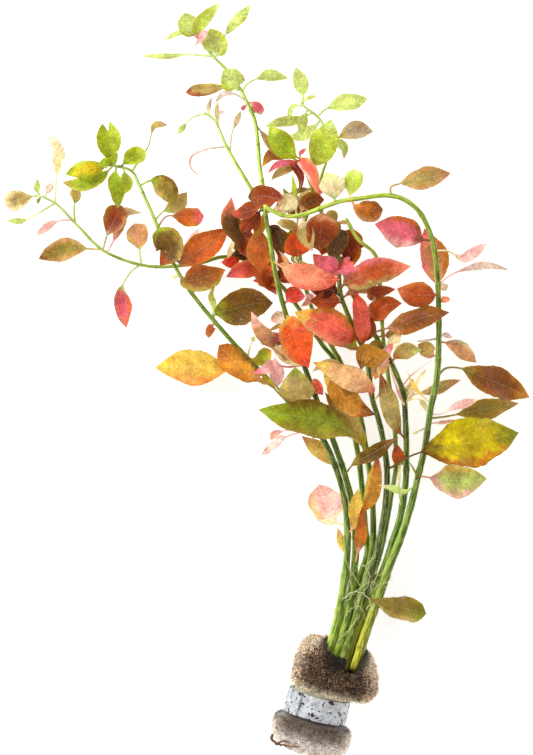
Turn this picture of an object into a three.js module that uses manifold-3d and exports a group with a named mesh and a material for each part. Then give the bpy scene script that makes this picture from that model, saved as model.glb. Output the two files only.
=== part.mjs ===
// A bunch of ludwigia ovalis, lying on its back: eight leafy stems held in a foam plug by a strip weight.
// Millimetres. X runs across the bunch, +Y from the plug towards the crowns, +Z away from the surface.
import * as THREE from "three";
import { mergeVertices } from "three/addons/utils/BufferGeometryUtils.js";
import Module from "manifold-3d";

const wasm = await Module();
wasm.setup();

// Driving dimensions
const STEM_SIDES = 6;
const LEAF_STEPS = 6; // sections along a leaf that is a piece of its own
const LEAF_RIB = 0.36; // half the thickness at the midrib
const PETIOLE = 0.45; // half the width of a leaf stalk
const GAP = 0.35; // clearance between neighbouring pieces
const MIDDLE = new THREE.Vector2(0.3, -0.8); // middle of the outline that the bunch covers
const PLUG_CENTRE = new THREE.Vector3(20.8, -131.5, 14);
const PLUG_LEAN = -14.5; // degrees, in the plane of the surface
const PLUG_RISE = 7; // degrees, the stem end of the plug is the higher one
const BAND_RADIUS = 12.3;
const BAND_THICK = 1.1;
const BAND_HEIGHT = 9.6;
const BAND_LAP = 62; // degrees of the strip that lie over its own start

const COLOURS = {
  stem: { color: 0x7f9a2c, roughness: 0.5 },
  green: { color: 0x8fae1f, roughness: 0.5 },
  yellow: { color: 0xd9a93a, roughness: 0.5 },
  red: { color: 0xd8452a, roughness: 0.5 },
  pink: { color: 0xe58a82, roughness: 0.5 },
  brown: { color: 0x7a4418, roughness: 0.55 },
  olive: { color: 0x8d7c3a, roughness: 0.55 },
  foam: { color: 0x85664a, roughness: 0.95 },
  weight: { color: 0xb6b8ba, roughness: 0.45, metalness: 0.7 },
};

// Stems: radius at the plug, radius at the crown, then points from the plug to the crown.
const STEMS = {
  stem_left: [1.5, 0.6, [
    [22.2, -118, 17.6], [26.6, -104, 18.7], [29.3, -92, 19.2], [31.6, -78, 19.5], [32.4, -66, 19.6],
    [31.4, -50, 20.5], [28, -37, 22], [22.8, -25, 24], [13.6, -14.8, 26], [-3.2, 3.2, 27],
    [-15.2, 16, 27], [-30.4, 34.4, 26], [-37.6, 46.4, 24], [-43.2, 59.6, 22], [-50.8, 76.6, 20],
    [-54, 82.6, 20], [-62.4, 85.2, 20]]],
  stem_tall: [1.5, 0.6, [
    [25.7, -118, 16.9], [30.1, -104, 17.9], [32.8, -92, 17.4], [35, -78, 16.4], [35.8, -66, 15.8],
    [34.6, -52, 17], [31.4, -39, 19], [26.6, -25, 20.6], [20.8, -10.8, 23], [15.6, 3.2, 26],
    [8.4, 23.2, 30], [4, 39.2, 34], [1.6, 53.2, 36], [-0.4, 65.2, 36], [-1.2, 74, 34],
    [-2.8, 85.2, 31], [-3.6, 95.2, 28], [-4.8, 103.2, 26], [-8, 110.4, 24], [-10.4, 115.2, 22],
    [-16.4, 123.6, 19], [-20.8, 128, 18], [-27.6, 136.4, 17]]],
  stem_low: [1.4, 0.5, [
    [23.9, -118, 13.9], [28.3, -104, 14.4], [32.5, -92, 13.3], [37.5, -80, 11.8], [40.6, -70, 11.4],
    [39.6, -60.8, 11.4], [38.4, -44.8, 11.5], [36.4, -28.8, 12], [31.6, -8.8, 12], [27.6, 6.4, 12],
    [22.4, 13.2, 12], [12.4, 28.4, 12], [5.6, 37.2, 12], [-6.4, 46.4, 12], [-17.6, 48.4, 12],
    [-26.4, 46, 12], [-42.4, 44.4, 12], [-50.4, 45.2, 12], [-58.4, 47.6, 12], [-66.4, 51.6, 11.5],
    [-77.2, 62.4, 10], [-84.8, 70, 9], [-91.2, 73.2, 8.5]]],
  stem_back: [1.4, 0.5, [
    [27.3, -118, 14.1], [31.7, -104, 14.9], [36, -92, 15.3], [40.2, -80, 15.5], [42.6, -66.8, 15.6],
    [42.4, -48.8, 15.8], [40, -28.8, 16], [36, -8.8, 16], [29.6, 6.4, 16.4], [26.4, 12, 16.4],
    [18.4, 27.2, 16.4], [13.6, 47.2, 16.4], [13.6, 55.2, 16.4], [15.6, 63.2, 17], [19.6, 73.2, 18],
    [22.4, 82, 19], [24.8, 91.2, 20], [22.4, 101.6, 19], [20.4, 104.4, 18.5], [14.2, 109.3, 17.5]]],
  stem_dark: [1.5, 0.8, [
    [29.2, -118, 17.4], [33.6, -104, 18.6], [38, -90, 19.2], [41.6, -78, 19.8], [44, -70.8, 20],
    [46.8, -56.8, 20.5], [47.8, -48.8, 21], [48.2, -36.8, 22], [46.6, -24.8, 23], [44.8, -16.8, 24],
    [42.4, -8.8, 25], [39.6, 9.2, 27], [36.8, 15.2, 28], [31.6, 27.2, 30], [29.6, 33.2, 31],
    [28.8, 45, 31], [28.8, 62.4, 30]]],
  stem_thick: [1.6, 0.7, [
    [31.4, -118, 14.2], [36, -104, 15.2], [41, -92, 15.9], [46, -80, 16.5], [50.4, -66.8, 17],
    [54.2, -52.8, 18], [55.8, -40.8, 19], [56, -28.8, 20], [55.6, -16.8, 21], [54.8, -6.8, 22],
    [52.8, -0.8, 22], [49.6, 6.4, 22], [45.6, 13.2, 22], [41.6, 20, 22], [35.6, 31.2, 22],
    [29.6, 45.2, 22.5], [24, 60, 24], [19, 74, 26], [13.6, 87.2, 28]]],
  stem_pale: [1.1, 0.7, [
    [28.9, -118, 10.8], [33.5, -104, 11.4], [39, -90, 12], [44, -76, 12.8], [47.5, -62, 14.2],
    [49.8, -48.8, 15.5], [51.8, -36, 16.2], [51.8, -28.8, 16.5], [51.4, -20.8, 17], [50, -8.8, 18],
    [48.4, 3.2, 18], [46.8, 15.2, 19], [45.6, 31.2, 24], [43.6, 48.4, 32], [36.4, 55.2, 36.5],
    [31.4, 63.4, 39.5]]],
  stem_arch: [1.6, 0.8, [
    [34.8, -118, 17.4], [39.2, -104, 18.6], [42.6, -94, 19.5], [46, -84.8, 20.5], [49.4, -74.8, 21],
    [53, -66, 21.3], [57.4, -52.8, 21.6], [60.8, -38.8, 22], [63.2, -28.8, 22.5], [65.6, -12.8, 23.5],
    [68, -0.8, 25], [68.8, 15.2, 28], [68.4, 35.2, 32], [67.6, 45.2, 34], [66.4, 53.2, 36],
    [63.6, 61.2, 38], [59.6, 67.2, 40], [53.6, 71.2, 42], [47.6, 72.4, 43], [37.6, 71.2, 44],
    [29.6, 70, 45], [23.6, 68, 46], [13.6, 64.4, 46.5], [7.6, 64, 47], [1.6, 66.4, 48],
    [-1.2, 68.4, 48.5]]],
};

// The side branch of the tall stem, grown from it.
const BRANCH = [0.8, 0.5, [
  [-1.4, 66, 36], [-5.6, 74.4, 34], [-11.6, 84.4, 31], [-16, 92.4, 28], [-21.2, 103.2, 26],
  [-25.2, 106, 25]]];

// Leaves that are pieces of their own: name, stem, colour, width, shape, stalk (share of the length),
// roll and fold in degrees, then the place on the stem that it grows from and the midrib points.
// A shape is "oval", "round" or "blunt" (widest near the tip).
const LEAVES = [
  ["leaf_low_tip", "stem_low", "olive", 8, "blunt", 0.1, 10, 10,
    [-91.2, 73.2], [-95.5, 72.6, 7], [-100, 71.5, 5], [-105.4, 69.6, 0.5]],
  ["leaf_low_tall", "stem_low", "pink", 5.6, "oval", 0.34, 10, 18,
    [-84.8, 70], [-84.6, 77, 10], [-83.8, 84, 12], [-83.8, 92, 13], [-88.6, 98.8, 10]],
  ["leaf_low_brown", "stem_low", "brown", 9, "oval", 0.22, 10, 14,
    [-66.6, 51.5], [-72, 51.8, 8], [-77, 52.2, 6.5], [-84, 51, 4.5], [-91.8, 47.8, 0.5]],
  ["leaf_low_fan", "stem_low", "red", 9.5, "blunt", 0.26, 0, 16,
    [-65, 52.2], [-63.8, 57.5, 13], [-61.6, 62, 13], [-58, 69, 12]],
  ["leaf_low_spoon", "stem_low", "olive", 8.8, "blunt", 0.3, 0, 12,
    [-50.4, 45.4], [-50.8, 50, 13], [-51.2, 55, 13], [-53, 61.8, 12]],
  ["leaf_low_hanging", "stem_low", "pink", 6.6, "oval", 0.16, 12, 24,
    [-50.8, 45], [-54.4, 42.4, 12], [-58.4, 35.2, 10], [-58, 28, 7], [-56.4, 20, 4]],

  ["leaf_left_north", "stem_left", "olive", 7.6, "oval", 0.1, -12, 14,
    [-62.4, 85.2], [-63.6, 91, 23], [-65.2, 97, 25], [-65.6, 101.6, 25]],
  ["leaf_left_west", "stem_left", "olive", 7, "oval", 0.1, 6, 12,
    [-62, 85.1], [-67, 84.2, 22], [-74, 83, 22], [-80.6, 81.2, 20]],
  ["leaf_left_west_low", "stem_left", "green", 6.8, "oval", 0.1, -8, 12,
    [-61, 84.9], [-66, 80.8, 17], [-74, 77.6, 15.5], [-82, 78.2, 13]],
  ["leaf_left_south", "stem_left", "green", 6.6, "oval", 0.08, 8, 14,
    [-60, 84.6], [-60.6, 79, 22.5], [-59.8, 74, 22.5], [-59.4, 67.8, 20]],
  ["leaf_left_east", "stem_left", "green", 7, "blunt", 0.08, 0, 10,
    [-58.4, 84.2], [-56.5, 86, 22], [-52.5, 88.6, 23], [-48.2, 90.2, 22]],
  ["leaf_left_wing", "stem_left", "olive", 9, "oval", 0.22, 0, 16,
    [-50.8, 76.8], [-46, 78.8, 21], [-41, 76.5, 22], [-36.6, 69, 20]],
  ["leaf_left_coral", "stem_left", "pink", 7.6, "blunt", 0.38, 0, 14,
    [-43.4, 60.4], [-40, 64.6, 16], [-34.5, 64.6, 12], [-30, 64.6, 10], [-25.2, 64.8, 8]],
  ["leaf_left_dark", "stem_left", "brown", 11.5, "oval", 0.06, 0, 12,
    [-43.6, 60.4], [-41.8, 57.5, 27], [-38, 51.4, 28], [-42.6, 44.6, 28]],
  ["leaf_left_red", "stem_left", "red", 11.4, "oval", 0.1, 0, 12,
    [-38, 47.2], [-34, 46.4, 20], [-25, 52.4, 18], [-14.8, 59.8, 17]],
  ["leaf_left_olive", "stem_left", "olive", 10.8, "oval", 0.06, 0, 14,
    [-34.2, 40.6], [-32.4, 38.6, 29], [-25.5, 39.6, 30], [-16.4, 43, 27]],
  ["leaf_left_big", "stem_left", "brown", 14.5, "oval", 0.08, 6, 14,
    [-21.6, 24], [-19.5, 25.8, 30], [-14, 27, 31], [-5, 29.4, 29.5], [2.6, 29.8, 26]],
  ["leaf_left_gold", "stem_left", "yellow", 14.5, "oval", 0.3, 0, 10,
    [-4, 3.6], [-10, 2.8, 20], [-19, 3.4, 15], [-32, 4.4, 7], [-44.8, 4, 0.8]],
  ["leaf_left_orange", "stem_left", "yellow", 10.6, "blunt", 0.2, 0, 12,
    [4, -4.6], [-1, -1.8, 31], [-9, 3, 32], [-19, 12.9, 30]],
  ["leaf_left_peach", "stem_left", "pink", 13.4, "round", 0.18, 0, 12,
    [31.8, -59.6], [27.4, -57.6, 17], [24.6, -52, 14], [21, -43, 9]],

  ["leaf_top_round", "stem_tall", "green", 8.6, "round", 0.1, 0, 8,
    [-27.6, 136.4], [-30, 138.4, 18], [-31.4, 141.6, 18], [-32.6, 146.3, 18]],
  ["leaf_top_green", "stem_tall", "green", 6, "oval", 0.08, 24, 12,
    [-27, 135.8], [-27.4, 138.6, 22], [-25.5, 142.4, 23], [-18.4, 150, 22]],
  ["leaf_top_right", "stem_tall", "green", 4.8, "oval", 0.34, 10, 14,
    [-22.5, 130.2], [-19, 133.6, 14], [-16.5, 137.5, 12], [-12, 143, 7], [-6.2, 150.4, 0.5]],
  ["leaf_top_cup", "stem_tall", "green", 9.8, "round", 0.1, 0, 10,
    [-20.6, 127.8], [-19.8, 130.4, 20.4], [-20.8, 134.4, 21.4], [-22.6, 139.6, 24]],
  ["leaf_high_round", "stem_tall", "yellow", 9.4, "round", 0.06, 0, 10,
    [-11, 116.2], [-12, 117.2, 25], [-14.4, 119.6, 26], [-17.3, 122.8, 26]],
  ["leaf_high_left", "stem_tall", "olive", 5, "blunt", 0.2, 0, 16,
    [-10.4, 115.2], [-15, 116.2, 19], [-22, 115.8, 17], [-32.4, 114.4, 12]],
  ["leaf_tall_hanging", "stem_tall", "yellow", 10, "oval", 0.24, 0, 12,
    [-0.2, 64], [-2.6, 59.6, 31], [-2.9, 51, 29], [0.4, 40, 27]],
  ["leaf_tall_coral", "stem_tall", "pink", 12, "oval", 0.16, 0, 10,
    [2.6, 46.4], [7, 44, 40], [13, 42.4, 42], [22, 41.6, 43], [30.6, 39.6, 42]],
  ["leaf_tall_flame", "stem_tall", "red", 13.2, "oval", 0.05, 0, 12,
    [7.8, 25], [9.4, 22.4, 35], [11.8, 14, 37], [16.8, 3.8, 35]],
  ["leaf_tall_orange", "stem_tall", "yellow", 5.2, "oval", 0.24, 0, 18,
    [35.4, -61], [37.6, -55, 21], [41.6, -48, 23.4], [43.4, -40, 25], [44.4, -31, 26]],

  ["leaf_back_north", "stem_back", "green", 6.2, "oval", 0.2, 0, 12,
    [14.2, 109.3], [14.6, 113, 19], [13.6, 118, 20], [11.6, 124.4, 20]],
  ["leaf_back_east", "stem_back", "green", 7.2, "oval", 0.22, 0, 12,
    [20.4, 104.4], [23.5, 107.4, 17], [31, 110, 15], [40.8, 112, 10]],
  ["leaf_crown_green", "stem_thick", "green", 9.4, "oval", 0.06, 0, 12,
    [13.6, 87.2], [10.6, 88.8, 29], [5.5, 94, 30], [1, 100.4, 28]],
  ["leaf_crown_bright", "stem_thick", "green", 11.4, "oval", 0.14, 0, 12,
    [15, 83.8], [18.6, 85.6, 31], [23, 93.5, 32], [25.8, 103.2, 30]],
  ["leaf_crown_band", "stem_thick", "red", 5.6, "oval", 0.06, 0, 14,
    [14, 86.2], [14.4, 86, 35], [18, 81.5, 37], [20.4, 73, 38]],

  ["leaf_arch_brown", "stem_arch", "brown", 9, "oval", 0.24, 0, 14,
    [49.4, 72.2], [49.4, 75.6, 43.5], [53, 77, 43], [62, 79, 41], [73.4, 81.4, 38]],
  ["leaf_arch_pink", "stem_arch", "pink", 12.6, "oval", 0.12, 0, 12,
    [66, 54.4], [61.8, 55, 38], [54, 58, 41], [43, 61, 42]],
  ["leaf_arch_under", "stem_arch", "pink", 11.4, "oval", 0.08, 0, 12,
    [68.5, 35.6], [68, 38.6, 28], [67.4, 46, 27], [63, 59.6, 29]],
  ["leaf_arch_rust", "stem_arch", "brown", 8.4, "blunt", 0.12, 0, 14,
    [33.4, 70.6], [36, 67.4, 48], [41, 66, 49], [46.2, 66.6, 48]],
  ["leaf_arch_big", "stem_arch", "brown", 12.6, "oval", 0.22, 6, 12,
    [68.2, 1], [71.4, 3.6, 24], [77, 3.8, 22], [86, 0.4, 18], [96, -3.6, 9], [106, -8, 0.5]],
  ["leaf_arch_tan", "stem_arch", "brown", 6.6, "oval", 0.1, 0, 12,
    [68.8, 14], [72, 13.8, 26], [78, 11, 24], [84, 6, 20]],
  ["leaf_arch_red", "stem_arch", "red", 10.2, "oval", 0.08, 0, 12,
    [68.4, 33.6], [65.4, 32.8, 35.5], [59, 33, 37], [52, 35.4, 35]],
  ["leaf_arch_low", "stem_arch", "yellow", 13.2, "oval", 0.14, 0, 10,
    [60.6, -39.4], [64, -39.8, 20], [70, -41, 15], [80, -41.6, 9], [88.8, -40.6, 4]],
  ["leaf_arch_foot", "stem_arch", "olive", 8, "blunt", 0.1, 0, 12,
    [43.6, -91], [47, -91.4, 18], [55, -92.8, 12], [64, -94.4, 5]],
  ["leaf_centre_wide", "stem_dark", "yellow", 20, "oval", 0.26, 0, 12,
    [48.2, -36.4], [51.6, -35, 25], [57, -31.6, 27.5], [64, -29.2, 27.5], [76, -27, 24], [88, -25, 17],
    [101.4, -22.2, 9]],
  ["leaf_centre_rust", "stem_dark", "red", 13, "oval", 0.08, 0, 14,
    [37, 14.8], [33, 16, 34], [24, 21, 38], [11, 26, 37]],
  ["leaf_centre_tan", "stem_dark", "olive", 11, "oval", 0.08, 0, 14,
    [29.4, 36.4], [33, 38.2, 38], [40, 41, 41], [48, 43, 41], [57.4, 44.2, 38]],
  ["leaf_centre_green", "stem_back", "green", 14.6, "oval", 0.18, 0, 10,
    [41, -35], [36.8, -25, 26], [28, -19, 30], [16, -16, 33], [5, -14.5, 33.5], [-3.2, -12.8, 32]],
];

// Smaller leaves and leaf stalks, grown on their stems: stem, width, shape, stalk, place on the stem, midrib.
const SHOOTS = [
  ["stem_low", 2.8, "oval", 0.1, [-91.2, 73.2], [-92.1, 76, 10], [-91.9, 79.8, 12]],
  ["stem_low", 1.8, "oval", 0.1, [-90.8, 73], [-91.6, 71.4, 7], [-91.8, 69.8, 6]],
  ["stem_low", 3.4, "oval", 0.2, [-89, 72.4], [-87.6, 75.2, 9], [-86.2, 78.6, 11]],
  ["stem_low", 2.8, "oval", 0.6, [-85.2, 70.2], [-90, 67, 8], [-97, 63.4, 6], [-104.6, 63, 5]],
  ["stem_low", 3.4, "oval", 0.3, [-78.4, 63.4], [-82, 63.2, 9], [-86, 62, 8], [-92.6, 57, 4]],
  ["stem_low", 4.4, "blunt", 0.5, [-77, 62.2], [-77.3, 68, 9], [-76.8, 72.5, 8.5], [-78, 76, 8.5]],
  ["stem_low", 5.6, "oval", 0.2, [-63.6, 50.6], [-60, 58, 8], [-57, 66, 7.5], [-50.2, 66.2, 7.5]],
  ["stem_low", 6, "oval", 0.16, [-8, 46.8], [-8.5, 51, 19], [-10.5, 56.5, 25], [-14.8, 63.4, 29],
    [-14, 72, 30]],
  ["stem_low", 4.6, "oval", 0.2, [-12.5, 47.4], [-11.4, 48.6, 15], [-14.6, 46.4, 17], [-18.2, 46.2, 18]],
  ["stem_low", 6.4, "oval", 0.16, [-1.6, 43], [-4, 44, 20], [-9, 43.4, 23.5], [-16.2, 40.2, 24]],

  ["stem_left", 5.8, "oval", 0.06, [-62.4, 85.2], [-62, 89, 18.6], [-61.4, 96, 18.4], [-62.8, 102.8, 18]],
  ["stem_left", 3.4, "oval", 0.1, [-61.8, 85.1], [-61, 87, 23], [-59.4, 89.8, 24]],
  ["stem_left", 4.6, "oval", 0.1, [-62.4, 85.2], [-64.4, 85.6, 25], [-67.2, 84.4, 26]],
  ["stem_left", 4.4, "oval", 0.1, [-57, 83.9], [-56.6, 80, 17], [-55.6, 77, 16], [-57.2, 73.4, 15]],
  ["stem_left", 2.6, "oval", 0.66, [-54, 82.6], [-50.4, 88, 15.6], [-47.5, 92.5, 15], [-46.2, 97, 15],
    [-44.8, 101, 16], [-39.4, 101.2, 15]],
  ["stem_left", 6.6, "oval", 0.3, [-44.6, 63], [-41.4, 66.4, 17.6], [-36.6, 69.6, 14.6], [-31.8, 74.4, 12]],
  ["stem_left", 2.6, "oval", 0.5, [-38.6, 48.6], [-35, 50.4, 15], [-31.4, 54, 13.4], [-26.8, 60, 13]],
  ["stem_left", 1.6, "oval", 0.1, [-34.8, 41.2], [-36.6, 40.2, 26], [-38.6, 40.6, 26]],
  ["stem_left", 2.6, "oval", 0.1, [-21.8, 23.8], [-21.2, 29, 24], [-22.2, 33, 22], [-20.5, 37.2, 21]],
  ["stem_left", 4.8, "oval", 0.12, [-20, 21.6], [-22.2, 20.6, 24], [-23.2, 15.8, 21]],
  ["stem_left", 5, "round", 0.2, [-7.2, 7.4], [-4, 7.6, 24], [2, 10.8, 22]],
  ["stem_left", 1, "oval", 0.7, [-8, 8.4], [-6.4, 12.6, 29], [-4.8, 16.4, 32]],
  ["stem_left", 6.2, "oval", 0.08, [27.8, -36.2], [25, -33.4, 20], [20, -28, 20], [14, -23.4, 20]],
  ["stem_left", 4.8, "oval", 0.44, [18.8, -20.8], [12.4, -22.2, 23], [6, -24.6, 21], [2, -28, 19],
    [-2, -31.2, 17]],
  ["stem_left", 3, "blunt", 0.6, [17, -18.6], [9, -21, 20], [3.4, -22.4, 18], [1.8, -25.2, 17]],
  ["stem_left", 4.4, "oval", 0.1, [32.6, -62], [35.2, -59, 22.6], [35.8, -52, 24], [36.6, -44.4, 24]],
  ["stem_left", 3.6, "oval", 0.1, [31.8, -72], [30.4, -67, 16], [28.6, -60.4, 13.6]],
  ["stem_left", 10.4, "oval", 0.1, [12.4, -13], [12.4, -9, 30], [12, -3, 32], [11.5, 4.2, 32]],

  ["stem_tall", 2.4, "oval", 0.1, [-27.6, 136.4], [-31.4, 138, 14.6], [-36, 137.8, 14], [-42, 134.6, 13]],
  ["stem_tall", 2.4, "oval", 0.4, [-26.6, 135.2], [-28.2, 136.4, 23], [-24.6, 137.4, 28.6], [-29, 132, 28]],
  ["stem_tall", 2.4, "oval", 0.3, [-21.8, 129.2], [-32, 129.4, 15.6], [-40, 129, 12], [-51.2, 129.2, 8]],
  ["stem_tall", 4.6, "oval", 0.36, [-10, 114.4], [-7.5, 117.6, 20], [-3, 120, 18], [2, 121.2, 16],
    [8.8, 120, 13]],
  ["stem_tall", 2.2, "oval", 0.3, [-8.4, 111], [-13, 113.4, 25], [-17, 113.4, 25], [-20.8, 109.8, 23]],
  ["stem_tall", 4.6, "oval", 0.1, [-7.8, 110], [-5.4, 109.4, 25], [-3.2, 107.6, 24], [-2.2, 105, 21]],
  ["stem_tall", 1.8, "oval", 0.1, [-7.4, 109], [-9, 108, 23], [-9.6, 106.6, 22]],
  ["stem_tall", 3.2, "oval", 0.1, [-4.2, 100.4], [-1, 96.5, 25], [2, 91.5, 25.4], [6, 87.4, 25.4]],
  ["stem_tall", 7, "oval", 0.16, [0.4, 60.6], [3.2, 59.4, 34], [5.6, 55, 33], [6.6, 49, 32]],
  ["stem_tall", 4.6, "oval", 0.16, [-1, 68.4], [-5, 63, 37], [-8, 59.6, 37], [-6.8, 55.4, 36]],
  ["stem_tall", 4.6, "oval", 0.14, [4.2, 38.4], [6.6, 40, 32], [8.6, 43, 30], [8.2, 46.6, 29]],
  ["stem_tall", 4.6, "oval", 0.14, [5, 35.4], [2, 37.4, 26], [-2, 39, 19.6], [-5.4, 38.6, 18]],
  ["stem_tall", 6, "oval", 0.14, [6.8, 29], [8.4, 30.6, 31], [11, 32.4, 31], [15.4, 32.4, 30]],
  ["stem_tall", 5, "oval", 0.3, [14.8, 5.4], [9, 4.2, 25], [4, 4.6, 27], [-0.5, 3, 35], [-5.6, 1.6, 36.4]],
  ["stem_tall", 1.2, "oval", 0.1, [13.4, 9.2], [9, 7, 30], [5.4, 9.4, 34], [2, 12, 35.4], [-2.8, 13.6, 36]],
  ["stem_tall", 4.4, "oval", 0.2, [11.6, 14.2], [6, 13.4, 29.6], [1, 15.4, 33], [-2.6, 19.4, 35.4],
    [-6, 26.2, 37]],
  ["stem_tall", 3.6, "oval", 0.1, [17.4, -1.6], [19, -1.2, 26.4], [20.4, -3.6, 27.4], [22.6, -7, 27]],
  ["stem_tall", 5.4, "oval", 0.16, [31.2, -38.4], [35, -34.4, 24], [42, -30.6, 28.4], [52.6, -24, 31]],
  ["stem_tall", 4.2, "oval", 0.16, [34.8, -75], [36.8, -68, 21], [38, -60, 25], [38.4, -51, 27.4]],
  ["branch", 2, "oval", 0.1, [-20.4, 101.6], [-20, 106.6, 28], [-19.4, 110.2, 29]],
  ["branch", 2.2, "oval", 0.1, [-19.8, 100.4], [-18.8, 105.4, 26], [-15.6, 106.3, 26]],
  ["branch", 1.8, "oval", 0.1, [-23, 104.6], [-23.2, 108, 23], [-21.8, 112.4, 22]],
  ["branch", 2.6, "oval", 0.6, [-24.4, 105.6], [-28, 104.6, 23], [-32, 102, 21], [-35.6, 97.4, 18]],
  ["branch", 1, "oval", 0.1, [-16, 92.4], [-24.4, 91.2, 22], [-30, 88.4, 19], [-30.6, 85, 17],
    [-28.5, 82, 15],
    [-25, 81.4, 14]],
  ["branch", 2.4, "oval", 0.5, [-14.8, 90.2], [-13.8, 97.5, 27], [-12, 102.5, 26], [-10.2, 106.4, 29]],

  ["stem_back", 1.6, "oval", 0.1, [14.2, 109.3], [16, 111.6, 15], [20.4, 113, 14]],
  ["stem_back", 2.6, "oval", 0.1, [14.8, 109], [10.6, 108.6, 16.4], [8.8, 103, 15]],
  ["stem_back", 4.2, "oval", 0.1, [16.4, 107.6], [15, 104, 16], [13.8, 97, 14]],
  ["stem_back", 4.6, "oval", 0.16, [18.4, 106], [12, 103.6, 12.4], [6, 102.6, 10], [-0.5, 101, 6]],
  ["stem_back", 5, "oval", 0.1, [21.4, 103], [18, 99, 12], [13, 97, 8], [7.5, 96.5, 4]],
  ["stem_back", 3.8, "oval", 0.1, [24.6, 91.4], [28, 93.5, 24], [30.8, 92, 24], [31, 87.4, 22]],
  ["stem_back", 7.4, "oval", 0.2, [24.2, 94.6], [29.5, 96.4, 20], [36, 99.4, 17], [42.8, 98.6, 13]],
  ["stem_back", 4.6, "oval", 0.1, [29.8, 6], [27.2, 3, 26], [25, 0, 28], [24.4, -4.6, 28]],
  ["stem_back", 9, "oval", 0.1, [40.2, -30.4], [37.6, -23, 20.6], [31.5, -16, 22], [23.4, -6, 20]],

  ["stem_thick", 5.4, "oval", 0.2, [14.4, 85.6], [8, 88.6, 25], [2.4, 89, 21.4], [-1.8, 84.4, 20]],
  ["stem_thick", 2.8, "oval", 0.1, [13.8, 86.8], [8, 85.6, 31], [4, 84.8, 31], [0.4, 81.4, 30]],
  ["stem_thick", 3.2, "oval", 0.1, [14.6, 85], [8.8, 83.4, 28], [5.5, 82.4, 27], [1.8, 78.8, 25]],
  ["stem_thick", 3.2, "oval", 0.1, [14, 86.4], [10.6, 85.4, 33], [13.4, 81.4, 34], [13.8, 77, 34.4],
    [12.4, 73.4, 35]],
  ["stem_thick", 3, "oval", 0.1, [18.4, 75.4], [13, 74.6, 30], [10, 72.8, 31], [6.6, 70.4, 31]],
  ["stem_thick", 1.8, "oval", 0.1, [13.6, 87.2], [13.4, 89.4, 27], [16, 91.6, 27]],
  ["stem_thick", 7.2, "oval", 0.14, [37, 28.6], [42, 26, 27], [48, 29, 30], [54, 29.6, 29]],
  ["stem_thick", 9, "oval", 0.2, [43, 18], [48, 19.6, 27], [55, 21, 32], [63, 24, 35], [72.8, 26, 35.4]],
  ["stem_thick", 3.4, "oval", 0.3, [44, 15.8], [48, 16.8, 23], [53.6, 17, 25]],
  ["stem_thick", 4, "oval", 0.2, [48.4, 8.4], [48.6, 11.4, 25], [50.6, 14.2, 27], [54, 18, 28]],
  ["stem_thick", 4.6, "oval", 0.1, [50.4, 5], [47.6, 5, 24.6], [44.6, 2.6, 27], [43.2, -0.8, 28]],
  ["stem_thick", 6.8, "oval", 0.1, [50, 6], [52.4, 8.8, 24.6], [56, 11, 26], [62, 11, 26]],
  ["stem_thick", 4.2, "oval", 0.1, [47, 11], [44.4, 12, 26], [42.8, 9, 28.4], [42.4, 5.8, 29]],
  ["stem_thick", 5, "oval", 0.24, [55, -8.4], [60, -6.6, 19.6], [67, -5, 18], [72, -2.8, 17],
    [77.8, -1, 15]],
  ["stem_thick", 2.4, "oval", 0.2, [55.2, -10.4], [57.6, -6.6, 24], [61, -1.4, 26]],
  ["stem_thick", 1.6, "oval", 0.4, [55, -7], [60, -1.6, 22.6], [64, 3.4, 22.6]],
  ["stem_thick", 2.6, "oval", 0.4, [55.2, -9.2], [60.4, -8.6, 23], [63, -10.6, 19.6], [64.6, -14, 18]],
  ["stem_thick", 0.9, "oval", 0.5, [54, -3.6], [58, 1, 24], [62, 4, 25], [66.2, 7, 25.6]],
  ["stem_thick", 6.2, "oval", 0.08, [55.4, -24.6], [52.6, -21, 24], [50, -14, 27.4], [47.6, -6, 29],
    [45.4, 2, 29]],
  ["stem_thick", 4, "oval", 0.1, [56, -34], [53.4, -33, 23.4], [52.4, -30, 24], [52.2, -26.6, 24.6]],
  ["stem_thick", 8, "oval", 0.1, [50, 6.8], [44.6, 7.8, 30.6], [39, 10, 33], [37.6, 2.8, 34]],

  ["stem_dark", 4.4, "oval", 0.14, [28.8, 61.4], [26, 63.4, 33], [22.8, 62.6, 34]],
  ["stem_dark", 6.4, "oval", 0.1, [28.8, 60.4], [28.8, 57, 35], [27.2, 52, 36], [26.4, 46, 36.6]],
  ["stem_dark", 6, "oval", 0.1, [28.8, 57.4], [31, 55, 30], [33, 51, 29], [33.6, 46.6, 28]],
  ["stem_dark", 5.6, "oval", 0.1, [28.8, 58.6], [31.5, 57.4, 27], [35, 55.2, 25.4], [38.8, 52, 24]],
  ["stem_dark", 4.4, "oval", 0.1, [28.8, 43.6], [30.6, 44, 34], [32.6, 43.8, 36], [34.6, 46, 36.6]],
  ["stem_dark", 5, "oval", 0.1, [29.2, 40], [26.4, 42.6, 35], [22, 45.6, 37], [18.4, 49.2, 37.4]],
  ["stem_dark", 4.6, "oval", 0.1, [29.8, 32.6], [26, 34.8, 34], [21, 35.4, 34], [16, 36.4, 33]],
  ["stem_dark", 7, "oval", 0.1, [30.6, 29.8], [27, 30.4, 33.6], [22, 30.4, 33.6], [17.4, 30.6, 33.2]],
  ["stem_dark", 6.8, "oval", 0.06, [38.4, 12], [38.4, 16.4, 32], [37.4, 24, 34], [35.2, 34.4, 34]],
  ["stem_dark", 8.4, "oval", 0.06, [42.2, -7.2], [41.2, -4.5, 31], [36, -1, 33], [27, 3, 34],
    [18.5, 6, 32]],
  ["stem_dark", 11, "oval", 0.1, [41.6, -4], [29, -3.4, 29.6], [33, -9.4, 29.6], [38, -13, 30.4],
    [43.4, -14.9, 30.6]],

  ["stem_pale", 2, "oval", 0.1, [45.2, 34], [41.4, 35.2, 26], [37.4, 35.2, 25], [34.8, 35.6, 25]],
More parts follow.
